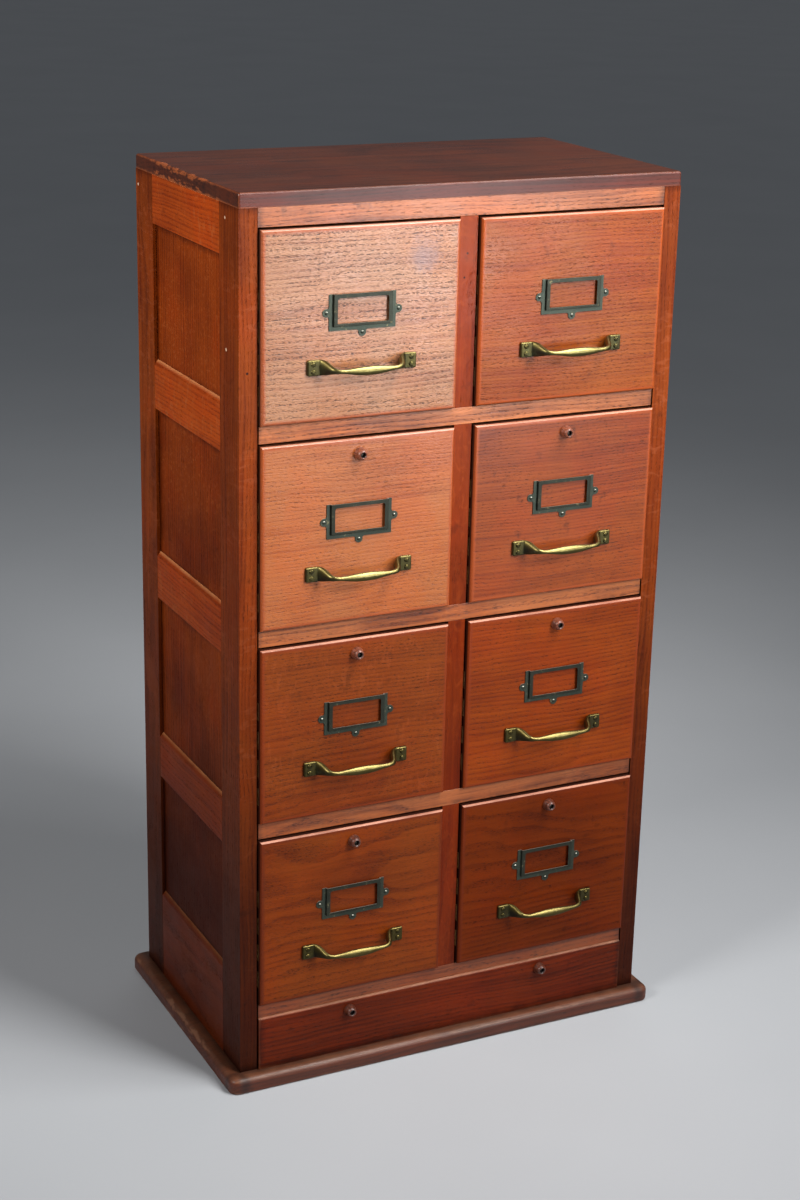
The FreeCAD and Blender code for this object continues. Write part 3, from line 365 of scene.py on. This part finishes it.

# drawer fronts: light tone, dark tone, pore tone, heart of the log, ring spacing and strengths; the tones darken from
# the top row down, partly as painted shade where the light falls off
FRONT_LOOK = {
    "r1c1": dict(light=lin(196, 126, 88), dark=lin(158, 86, 52), pore=lin(66, 34, 26), centre=(0.60, 0.06), spacing=0.0056,
                 rings=0.30, pores=0.90, pore_wide=0.0009, pore_long=0.0036, blotch=0.24, smudge=0.12, seed=1.0, bump=0.8,
                 rough=0.35, cut=0.485, between=0.34, fibre=0.34, level=0.5,
                 spots=[(-0.052, -0.1615, 0.958, 0.026, lin(120, 92, 92))]),
    "r1c2": dict(light=lin(190, 104, 58), dark=lin(158, 72, 34), pore=lin(84, 34, 18), centre=(0.55, 0.10), spacing=0.0040,
                 rings=0.40, pores=0.75, pore_wide=0.0009, pore_long=0.0040, blotch=0.50, smudge=0.42, seed=2.0, bump=0.6,
                 rough=0.38, cut=0.52, between=0.30, fibre=0.30, level=0.24, coat=0.04),
    "r2c1": dict(light=lin(190, 108, 64), dark=lin(150, 72, 36), pore=lin(84, 38, 22), centre=(0.35, 0.12), spacing=0.0032,
                 rings=0.32, pores=0.62, pore_wide=0.0008, pore_long=0.0038, blotch=0.34, smudge=0.20, seed=3.0, figure=0.8, bump=0.6,
                 rough=0.36, cut=0.52, between=0.34, fibre=0.34, level=0.38),
    "r2c2": dict(light=lin(172, 84, 42), dark=lin(130, 54, 24), pore=lin(58, 24, 14), centre=(0.42, 0.10), spacing=0.0034,
                 rings=0.40, pores=0.65, pore_wide=0.0009, pore_long=0.0042, blotch=0.50, smudge=0.50, seed=4.0, bump=0.55,
                 rough=0.44, cut=0.55, between=0.30, fibre=0.24, level=0.30, coat=0.12),
    "r3c1": dict(light=lin(160, 74, 36), dark=lin(122, 50, 22), pore=lin(64, 26, 14), centre=(0.20, 0.16), spacing=0.0030,
                 rings=0.38, pores=0.72, pore_wide=0.0009, pore_long=0.0040, blotch=0.46, smudge=0.34, figure=0.65, seed=5.0, bump=0.5,
                 rough=0.45, cut=0.54, between=0.35, rays=0.10, ray_tone=lin(182, 92, 48), fibre=0.26, level=0.14, coat=0.0),
    "r3c2": dict(light=lin(168, 78, 36), dark=lin(128, 50, 20), pore=lin(64, 26, 12), centre=(0.22, 0.14), spacing=0.0034,
                 rings=0.42, pores=0.60, pore_wide=0.0010, pore_long=0.0042, blotch=0.46, smudge=0.35, figure=0.65, seed=6.0, bump=0.5,
                 rough=0.44, cut=0.55, between=0.30, fibre=0.24, level=0.14, coat=0.0),
    "r4c1": dict(light=lin(156, 70, 34), dark=lin(114, 44, 20), pore=lin(56, 22, 12), centre=(-0.05, 0.10), spacing=0.0034,
                 rings=0.42, pores=0.65, pore_wide=0.0010, pore_long=0.0042, blotch=0.46, smudge=0.30, figure=0.6, seed=7.0, bump=0.55,
                 rough=0.45, cut=0.54, between=0.30, fibre=0.24, level=0.12, coat=0.0),
    "r4c2": dict(light=lin(144, 60, 28), dark=lin(104, 38, 16), pore=lin(50, 18, 10), centre=(-0.08, 0.14), spacing=0.0032,
                 rings=0.38, pores=0.60, pore_wide=0.0009, pore_long=0.0042, blotch=0.50, smudge=0.30, figure=0.6, seed=8.0, bump=0.5,
                 rough=0.46, cut=0.55, between=0.30, level=0.08, coat=0.0),
}
# painted shade: tints of the rounded-edge band for each row, darker down the front
PAINTED_EDGE_SHADE = {"1": lin(158, 70, 26), "2": lin(150, 66, 24), "3": lin(116, 44, 15), "4": lin(92, 33, 11)}
# painted highlight: tints of the lightened upper round-over for each row
PAINTED_CREST_HIGHLIGHT = {"1": (0.46, 0.25, 0.17), "2": (0.46, 0.24, 0.16), "3": (0.50, 0.25, 0.17), "4": (0.52, 0.25, 0.17)}
for d, look in FRONT_LOOK.items():
    lo, hi = boxed(d + "_front")
    look = dict(look)
    cz = (lo[2] + hi[2]) / 2.0
    look["centre"] = (cz - look["centre"][0], look["centre"][1])
    M[d] = oak("oak_front_" + d, "XZY", tune=TUNE[d], painted_gap_shade="front", painted_edge_shade=(lo, hi, 0.0062, 0.75, PAINTED_EDGE_SHADE[d[1]]),
               painted_crest_highlight=(0.85, PAINTED_CREST_HIGHLIGHT[d[1]]), **look)

FRAME = dict(light=lin(160, 70, 28), dark=lin(112, 42, 16), pore=lin(50, 18, 10))
M["stile"] = oak("oak_stile", "ZXY", painted_joint_shade=[("Z", 1.0200, False), ("Z", 0.0190, False)], **FRAME, tune=TUNE["stile"], painted_gap_shade="sides", level=0.09, coat=0.0, centre=(0.03, 0.10), spacing=0.0036, rings=0.35, pores=0.55, blotch=0.45,
                 smudge=0.35, seed=11.0, cell=((0.4, 0.2, 3.0), (-0.6, -0.1, -1.0)), rays=0.30,
                 ray_tone=lin(158, 82, 48), painted_floor_shade=(0.0, 0.86, (0.17, 0.15, 0.14)), rough=0.42,
                 spots=[(-0.265, -0.120, 0.865, 0.0022, lin(226, 190, 160)), (-0.265, -0.118, 1.003, 0.0020, lin(220, 180, 150)),
                        (-0.265, 0.147, 1.000, 0.0022, lin(226, 190, 160)), (-0.2555, -0.155, 0.846, 0.0018, lin(40, 16, 12))])
M["muntin"] = oak("oak_muntin", "ZXY", tune=TUNE["muntin"], painted_gap_shade="front", level=0.12, coat=0.02, light=lin(182, 84, 32), dark=lin(134, 52, 18), pore=lin(60, 22, 10), centre=(0.02, 0.12),
                  spacing=0.0034, rings=0.25, pores=0.45, blotch=0.50, smudge=0.30, seed=12.0,
                  cell=((1.0, 1.0, 0.2285), (-0.5, -0.5, -0.1265)), rays=0.14, ray_tone=lin(196, 96, 40), ray_size=(80.0, 110.0, 110.0), painted_floor_shade=(0.2, 0.8, (0.62, 0.55, 0.50)),
                  spots=[(-0.001, -0.155, 0.957, 0.0016, lin(30, 12, 10)), (-0.004, -0.155, 0.931, 0.0014, lin(36, 14, 12))])
M["rail"] = oak("oak_rail", "XZY", painted_joint_shade=[("X", 0.2450, True)], tune=TUNE["rail"], painted_gap_shade="front", light=lin(178, 92, 52), dark=lin(92, 36, 18), pore=lin(46, 18, 12), fibre=0.30, centre=(0.30, 0.20),
                spacing=0.0040, rings=0.30, pores=0.75, pore_wide=0.0010, cut=0.53, blotch=0.45, smudge=0.40, seed=13.0,
                cell=((3.0, 1.0, 0.2285), (-1.5, -0.5, -0.06)), rays=0.20, ray_tone=lin(184, 100, 54), painted_floor_shade=(0.02, 0.60, (0.46, 0.34, 0.26)))
# painted highlight: the side rails' up-facing bevels are lightened
M["side_rail"] = oak("oak_side_rail", "YZX", tune=TUNE["side_rail"], level=0.10, coat=0.0, light=lin(176, 82, 32), dark=lin(126, 50, 18), pore=lin(60, 24, 12), figure=0.7, dust_and_highlight=(0.95, lin(216, 146, 94)),
                     centre=(0.10, 0.10), spacing=0.0040, rings=0.40, pores=0.5, blotch=0.45, smudge=0.25, seed=14.0,
                     cell=((0.4, 3.0, 0.2285), (-0.6, -1.5, -0.03)), rays=0.25, ray_tone=lin(182, 108, 58),
                     painted_floor_shade=(0.0, 0.92, PAINTED_FOOT_SHADE))
M["panel"] = oak("oak_panel", "ZYX", figure=0.4, painted_joint_shade=[("Y", 0.1015, True)] + [("Z", h, False) for h in (0.1298, 0.2903, 0.3423, 0.5203, 0.5723, 0.7503, 0.8023, 0.9628)], tune=TUNE["panel"], level=0.08, coat=0.0, light=lin(156, 72, 30), dark=lin(88, 32, 12), pore=lin(44, 18, 10), ray_size=(260.0, 180.0, 180.0), centre=(0.30, 0.06),
                 spacing=0.0038, rings=0.35, pores=0.5, blotch=0.55, smudge=0.30, seed=15.0,
                 cell=((0.4, 3.0, 0.2285), (-0.6, -1.5, -0.12)), rays=0.35, ray_tone=lin(176, 92, 44),
                 painted_floor_shade=(0.04, 0.98, (0.17, 0.14, 0.11)), rough=0.50)
lo, hi = boxed("top_board")
M["top"] = oak("oak_top", "XYZ", tune=TUNE["top"], painted_front_edge_shade=(1.15, 0.62, 0.42), level=0.4, light=lin(104, 44, 22), dark=lin(66, 26, 14), pore=lin(36, 16, 10), centre=(0.02, 0.16),
               spacing=0.0040, rings=0.30, pores=0.5, blotch=0.45, smudge=0.25, seed=16.0, rough=0.31, coat=0.12,
               coat_rough=0.22, wear=(lo, hi, 0.006, 0.9, lin(178, 92, 44), 0.10))
lo, hi = boxed("base_board")
M["base"] = oak("oak_base", "XYZ", painted_joint_shade=[("X", 0.2650, True), ("Y", -0.1560, False)], tune=TUNE["base"], light=lin(116, 58, 34), dark=lin(74, 34, 20), pore=lin(40, 20, 14), dust_and_highlight=(0.35, lin(122, 88, 64)), centre=(0.02, 0.16),
                spacing=0.0036, rings=0.35, pores=0.6, blotch=0.45, smudge=0.45, seed=17.0, rough=0.48,
                wear=(lo, hi, 0.007, 0.55, lin(150, 104, 76), 0.55))
lo, hi = boxed("kick_board")
M["kick"] = oak("oak_kick", "XZY", level=0.12, coat=0.0, painted_joint_shade=[("X", 0.2440, True), ("Z", 0.0190, False)], tune=TUNE["kick"], light=lin(138, 60, 30), dark=lin(96, 38, 18), pore=lin(46, 18, 12), dust_and_highlight=(0.5, lin(190, 140, 110)), centre=(0.25, 0.12),
                spacing=0.0034, rings=0.40, pores=0.75, blotch=0.45, smudge=0.40, seed=18.0, rough=0.42, bump=0.7,
                wear=(lo, hi, 0.003, 0.4, lin(170, 100, 66), 0.6))
M["back"] = oak("oak_back", "ZXY", light=lin(142, 98, 62), dark=lin(108, 70, 42), pore=lin(70, 44, 28), centre=(0.08, 0.10),
                spacing=0.0045, rings=0.5, pores=0.6, blotch=0.40, smudge=0.35, seed=19.0, rough=0.68, coat=0.0,
                cell=((0.127, 1.0, 3.0), (-0.254, -0.5, -1.0)))
BARE = dict(light=lin(206, 168, 118), dark=lin(168, 122, 74), pore=lin(116, 78, 46), rings=0.55, pores=0.6, blotch=0.25,
            smudge=0.15, rough=0.62, coat=0.0)


def along_sides(t, x, y, z):
    """The drawer sides run front to back, the back and bottom run across."""
    off = t.math("ABSOLUTE", t.math("SUBTRACT", t.math("ABSOLUTE", x), 0.1275))
    return t.math("GREATER_THAN", off, 0.1036), "YZX"


M["box"] = oak("wood_drawer_box", "XZY", **BARE, centre=(0.40, 0.14), spacing=0.0038, seed=20.0, switch=along_sides)
M["bare_x"] = oak("wood_runner", "YZX", **BARE, centre=(0.20, 0.14), spacing=0.0036, seed=21.0,
                  cell=((0.0137, 1.0, 0.2285), (-0.25, -0.5, 0.09)))
M["partition"] = oak("wood_partition", "ZYX", **BARE, centre=(0.05, 0.09), spacing=0.0046, seed=22.0)
M["follower"] = oak("wood_follower", "XZY", **BARE, centre=(0.30, 0.12), spacing=0.0034, seed=23.0,
                    cell=((0.255, 1.0, 0.2285), (-0.255, -0.5, -0.03)))


# ------------------------------------------------------------------ metals and turned buttons
def pull_metal():
    t = Tree("pull_brass")
    tc = t.new("ShaderNodeTexCoord")
    where, facing = tc.outputs["Object"], tc.outputs["Normal"]
    x, y, z = t.sep(where)
    along = t.math("ABSOLUTE", t.math("SUBTRACT", t.math("ABSOLUTE", x), 0.1275))
    zone = t.ramp(t.math("DIVIDE", along, 0.0635), [(0.0, 0.92), (0.50, 0.82), (0.62, 0.46), (0.70, 0.20), (0.76, 0.18), (0.80, 0.34), (1.0, 0.42)])
    nx, ny, nz = t.sep(facing)
    # painted highlight: up and rim lighten the brass where the faces catch the light, on top of the polish that
    # handling leaves along the grip
    up = t.span(t.vmath("DOT_PRODUCT", facing, (0.0, -0.45, 0.89)), -0.10, 0.80)
    rim_highlight = t.math("MULTIPLY", t.span(t.math("ABSOLUTE", ny), 0.93, 0.60), t.span(nz, -0.1, 0.5))
    mottle = t.noise(where, scale=150.0, detail=4.0, rough=0.65)
    broad = t.noise(where, scale=34.0, detail=2.0)
    polish_and_highlight = t.math("MULTIPLY", zone, t.math("ADD", t.math("MULTIPLY", up, 0.60), 0.40))
    polish_and_highlight = t.math("ADD", polish_and_highlight, t.math("MULTIPLY", rim_highlight, 0.55))
    polish_and_highlight = t.math("ADD", polish_and_highlight, t.math("MULTIPLY", t.math("SUBTRACT", broad, 0.5), 0.5))
    polish_and_highlight = t.math("ADD", polish_and_highlight, t.math("MULTIPLY", t.math("SUBTRACT", mottle, 0.5), 0.65), clamp=True)
    col = t.ramp(polish_and_highlight, [(0.0, (0.030, 0.027, 0.018)), (0.30, (0.078, 0.068, 0.027)), (0.62, (0.116, 0.096, 0.031)), (1.0, (0.215, 0.180, 0.070))])
    green = t.math("MULTIPLY", t.span(mottle, 0.56, 0.70), t.span(polish_and_highlight, 0.60, 0.20))
    col = t.mix(t.math("MULTIPLY", green, 0.6), col, (0.085, 0.115, 0.075))
    # painted shade: the pulls darken towards the floor
    col = t.mix(t.span(z, 0.80, 0.30), col, t.mix(1.0, col, (0.72, 0.68, 0.62), "MULTIPLY"))
    r = t.math("ADD", t.ramp(polish_and_highlight, [(0.0, 0.60), (0.5, 0.45), (1.0, 0.33)]), t.math("MULTIPLY", t.math("SUBTRACT", mottle, 0.5), 0.22))
    metal = t.ramp(polish_and_highlight, [(0.0, 0.80), (0.35, 1.0)])
    dents = t.noise(where, scale=420.0, detail=2.0)
    h = t.math("ADD", t.math("MULTIPLY", dents, 0.35), t.math("MULTIPLY", broad, 0.9))
    return t.finish(Base_Color=col, Roughness=r, Metallic=metal, Normal=t.bump(h, 0.45, 0.00022))


def label_metal():
    t = Tree("label_frame_metal")
    tc = t.new("ShaderNodeTexCoord")
    where, facing = tc.outputs["Object"], tc.outputs["Normal"]
    mottle = t.noise(where, scale=190.0, detail=4.0, rough=0.7)
    broad = t.noise(where, scale=60.0, detail=2.0)
    worn = t.math("MULTIPLY", t.span(mottle, 0.58, 0.72), t.span(broad, 0.42, 0.62))
    x, y, z = t.sep(where)
    up = t.span(t.vmath("DOT_PRODUCT", facing, (0.0, -0.25, 0.97)), 0.40, 0.90)
    raised = t.span(y, -0.1634, -0.1646)
    col = t.mix(broad, (0.028, 0.036, 0.028), (0.060, 0.070, 0.052))
    col = t.mix(raised, col, t.mix(broad, (0.018, 0.021, 0.016), (0.044, 0.047, 0.034)))
    col = t.mix(t.math("MULTIPLY", t.span(mottle, 0.36, 0.24), 0.55), col, (0.085, 0.125, 0.080))
    col = t.mix(t.math("MULTIPLY", worn, 0.50), col, (0.36, 0.30, 0.15))
    # painted highlight: faces that look up are lightened
    col = t.mix(t.math("MULTIPLY", up, 0.65), col, (0.55, 0.54, 0.46))
    r = t.math("ADD", 0.34, t.math("MULTIPLY", mottle, 0.24))
    return t.finish(Base_Color=col, Roughness=r, Metallic=0.85, Normal=t.bump(mottle, 0.35, 0.00012))


def small_brass(name, bright, dark, rough, metallic=0.75):
    t = Tree(name)
    where = t.new("ShaderNodeTexCoord").outputs["Object"]
    mottle = t.noise(where, scale=320.0, detail=3.0, rough=0.6)
    col = t.mix(t.span(mottle, 0.38, 0.62), bright, dark)
    r = t.math("ADD", rough, t.math("MULTIPLY", t.math("SUBTRACT", mottle, 0.5), 0.3))
    return t.finish(Base_Color=col, Roughness=r, Metallic=metallic, Normal=t.bump(mottle, 0.4, 0.00010))


def button_wood(name, cx, cz, pitch, bore):
    """cx and cz place one button's axis, pitch is the step to the next row."""
    t = Tree(name)
    where = t.new("ShaderNodeTexCoord").outputs["Object"]
    x, y, z = t.sep(where)
    rings = t.noise(t.comb(t.math("MULTIPLY", x, 90.0), t.math("MULTIPLY", y, 1600.0), t.math("MULTIPLY", z, 90.0)), detail=2.0)
    grain = t.noise(t.stretch(where, 900.0, 60.0, 900.0), detail=2.0, rough=0.6)
    patch = t.noise(where, scale=130.0, detail=3.0)
    col = t.mix(t.span(grain, 0.35, 0.68), lin(142, 78, 54), lin(84, 42, 28))
    col = t.mix(t.math("MULTIPLY", t.span(patch, 0.50, 0.70), 0.6), col, lin(58, 30, 22))
    # painted shade: darker towards the floor
    col = t.mix(t.span(z, 0.72, 0.18), col, t.mix(1.0, col, (0.42, 0.36, 0.32), "MULTIPLY"))
    dx = t.math("SUBTRACT", t.math("ABSOLUTE", x), cx)
    dz = t.math("PINGPONG", t.math("SUBTRACT", z, cz), pitch / 2.0)
    off = t.math("SQRT", t.math("ADD", t.math("MULTIPLY", dx, dx), t.math("MULTIPLY", dz, dz)))
    # painted shade: the bore is coloured near-black
    col = t.mix(t.span(off, bore + 0.0008, bore - 0.0001), col, (0.010, 0.005, 0.004))
    r = t.math("ADD", 0.42, t.math("MULTIPLY", t.math("SUBTRACT", patch, 0.5), 0.3))
    h = t.math("ADD", t.math("MULTIPLY", rings, 0.6), t.math("MULTIPLY", grain, 0.5))
    return t.finish(Base_Color=col, Roughness=r, Normal=t.bump(h, 0.4, 0.00015), Coat_Weight=0.2, Coat_Roughness=0.3)


M["pull"] = pull_metal()
M["label"] = label_metal()
M["screw"] = small_brass("pull_screw_brass", (0.52, 0.46, 0.27), (0.14, 0.12, 0.07), 0.34)
M["pin"] = small_brass("label_pin_brass", (0.62, 0.50, 0.22), (0.34, 0.27, 0.11), 0.32, 0.45)
M["nail"] = small_brass("button_nail_iron", (0.060, 0.050, 0.040), (0.022, 0.018, 0.015), 0.62, 0.5)
lo, hi = boxed("r4c2_button")
M["button"] = button_wood("turned_button_wood", (lo[0] + hi[0]) / 2.0, (lo[2] + hi[2]) / 2.0, 0.2285, 0.0029)
lo, hi = boxed("kick_buttons")
M["button_kick"] = button_wood("turned_kick_button_wood", hi[0] - (hi[2] - lo[2]) / 2.0, (lo[2] + hi[2]) / 2.0, 4.0, 0.0029)


# ------------------------------------------------------------------ pieces made from the frame's solids
def solids_of(obj):
    """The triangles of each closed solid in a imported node, in order."""
    me = obj.data
    co = np.zeros(len(me.vertices) * 3)
    me.vertices.foreach_get("co", co)
    co = co.reshape(-1, 3)
    keys, back = np.unique(np.round(co, 6), axis=0, return_inverse=True)
    back = back.reshape(-1)
    out, faces, open_edges = [], [], set()
    for p in me.polygons:
        ids = [int(back[i]) for i in p.vertices]
        faces.append(ids)
        for a, b in zip(ids, ids[1:] + ids[:1]):
            k = (a, b) if a < b else (b, a)
            if k in open_edges:
                open_edges.remove(k)
            else:
                open_edges.add(k)
        if not open_edges:
            out.append(faces)
            faces = []
    if faces:
        out.append(faces)
    return keys, out


def dress(name, node, mats, pick=None, ease=0.0, angle=38.0, steps=2, body=None, flat=True):
    """A finished piece from a node's own solids: clean faces, eased edges and a material for each solid.
    pick(lo, hi) gives the material index of a solid from its box."""
    keys, solids = solids_of(NODES[node])
    verts, faces, index = [], [], []
    for tris in solids:
        used = sorted({i for f in tris for i in f})
        local = {i: k for k, i in enumerate(used)}
        pts = keys[used]
        bm = bmesh.new()
        vs = [bm.verts.new(p) for p in pts]
        for f in tris:
            if len({local[i] for i in f}) == len(f):
                try:
                    bm.faces.new([vs[local[i]] for i in f])
                except ValueError:
                    pass
        bm.normal_update()
        if flat:
            bmesh.ops.dissolve_limit(bm, angle_limit=math.radians(0.6), verts=bm.verts[:], edges=bm.edges[:])
        if ease:
            sharp = [e for e in bm.edges if len(e.link_faces) == 2 and e.is_convex
                     and e.calc_face_angle(0.0) > math.radians(50.0) and e.calc_length() > ease * 4.0]
            if sharp:
                bmesh.ops.bevel(bm, geom=sharp, offset=ease, offset_type="OFFSET", segments=steps, profile=0.5,
                                affect="EDGES", clamp_overlap=True)
        bmesh.ops.recalc_face_normals(bm, faces=bm.faces[:])
        bm.verts.index_update()
        start = len(verts)
        verts += [tuple(v.co) for v in bm.verts]
        kind = pick(pts.min(0), pts.max(0)) if pick else 0
        for f in bm.faces:
            faces.append([start + v.index for v in f.verts])
            index.append(kind)
        bm.free()
    me = bpy.data.meshes.new(name)
    me.from_pydata(verts, [], faces)
    for m in mats:
        me.materials.append(m)
    me.polygons.foreach_set("material_index", index)
    me.polygons.foreach_set("use_smooth", [True] * len(faces))
    me.update()
    me.set_sharp_from_angle(angle=math.radians(angle))
    obj = bpy.data.objects.new(name, me)
    bpy.context.scene.collection.objects.link(obj)
    if ease:
        wn = obj.modifiers.new("face_normals", "WEIGHTED_NORMAL")
        wn.keep_sharp = True
        wn.weight = 60
    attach(obj, body or NODES[node]["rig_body"])
    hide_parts(node)
    return obj


def small(lo, hi):
    """1 for a fastener, 0 for the piece that it holds."""
    return 1 if max(hi[0] - lo[0], hi[2] - lo[2]) < 0.008 else 0


dress("top", "top_board", [M["top"]], ease=0.0005)
dress("base", "base_board", [M["base"]], ease=0.0)
dress("stiles", "side_stiles", [M["stile"]], ease=0.0009)
dress("rails_side", "side_rails", [M["side_rail"]], ease=0.0006)
dress("panels", "side_panels", [M["panel"]])
dress("rails_front", "front_rails", [M["rail"]], ease=0.0006)
dress("muntins", "center_muntins", [M["muntin"]], ease=0.0005)
dress("kick", "kick_board", [M["kick"]])
dress("buttons_kick", "kick_buttons", [M["button_kick"], M["nail"]], pick=small, flat=False)
dress("partition", "center_partition", [M["partition"]], ease=0.0008)
dress("runners", "drawer_runners", [M["bare_x"]], ease=0.0010)
dress("stops", "drawer_stops", [M["bare_x"]], ease=0.0008)
dress("backs", "back_boards", [M["back"]], ease=0.0006)
for d in DRAWERS:
    dress(d + ".front", d + "_front", [M[d]])
    dress(d + ".box", d + "_box", [M["box"]], ease=0.0006)
    dress(d + ".pull", d + "_pull", [M["pull"], M["screw"]], pick=small, flat=False, angle=50.0)
    dress(d + ".label", d + "_card_frame", [M["label"], M["pin"]], pick=small, flat=False)
    dress(d + ".follower", d + "_follower", [M["follower"]], ease=0.0012)
    if d[1] != "1":
        dress(d + ".button", d + "_button", [M["button"], M["nail"]], pick=small, flat=False)


# ------------------------------------------------------------------ floor, lights, world
def floor():
    t = Tree("pale_floor")
    where = t.new("ShaderNodeTexCoord").outputs["Object"]
    n = t.noise(where, scale=2.2, detail=4.0)
    f = t.noise(where, scale=160.0, detail=2.0)
    col = t.mix(n, (0.36, 0.375, 0.395), (0.41, 0.425, 0.445))
    mat = t.finish(Base_Color=col, Roughness=t.math("ADD", 0.62, t.math("MULTIPLY", f, 0.12)), Normal=t.bump(f, 0.15, 0.0004))
    me = bpy.data.meshes.new("floor")
    bm = bmesh.new()
    bmesh.ops.create_grid(bm, x_segments=8, y_segments=8, size=70.0)
    bm.to_mesh(me)
    bm.free()
    me.materials.append(mat)
    obj = bpy.data.objects.new("floor", me)
    bpy.context.scene.collection.objects.link(obj)


def lamp(name, at, to, size, watts, color, spread):
    data = bpy.data.lights.new(name, "AREA")
    data.shape = "RECTANGLE"
    data.size, data.size_y = size
    data.energy = watts
    data.spread = math.radians(spread)
    data.color = color
    obj = bpy.data.objects.new(name, data)
    obj.location = at
    obj.rotation_euler = (Vector(to) - Vector(at)).to_track_quat("-Z", "Y").to_euler()
    bpy.context.scene.collection.objects.link(obj)


floor()
lamp("key", (1.15, -2.05, 2.10), (-0.02, -0.15, 0.92), (1.1, 0.9), 13.5, (1.0, 0.985, 0.96), 74.0)
lamp("sheen", (0.98, -2.25, 0.70), (-0.02, -0.16, 0.92), (0.58, 0.66), 5.0, (0.93, 0.96, 1.0), 80.0)
lamp("overhead", (0.62, -0.85, 2.35), (0.05, -0.16, 0.6), (1.1, 0.40), 12.5, (1.0, 0.985, 0.97), 95.0)
lamp("left", (-2.3, -0.7, 1.95), (-0.26, 0.0, 0.92), (0.9, 0.9), 10.0, (1.0, 0.97, 0.94), 74.0)
sun = bpy.data.lights.new("high_rear", "SUN")
sun.energy = 0.24
sun.angle = math.radians(28.0)
sun_at = bpy.data.objects.new("high_rear", sun)
sun_at.rotation_euler = Vector((-0.25, -0.38, -0.95)).to_track_quat("-Z", "Y").to_euler()
bpy.context.scene.collection.objects.link(sun_at)
world = bpy.data.worlds.new("studio")
bpy.context.scene.world = world
world.use_nodes = True
world.node_tree.nodes["Background"].inputs[0].default_value = (0.80, 0.86, 0.95, 1.0)
world.node_tree.nodes["Background"].inputs[1].default_value = 0.10
bpy.context.scene.view_settings.view_transform = "Standard"
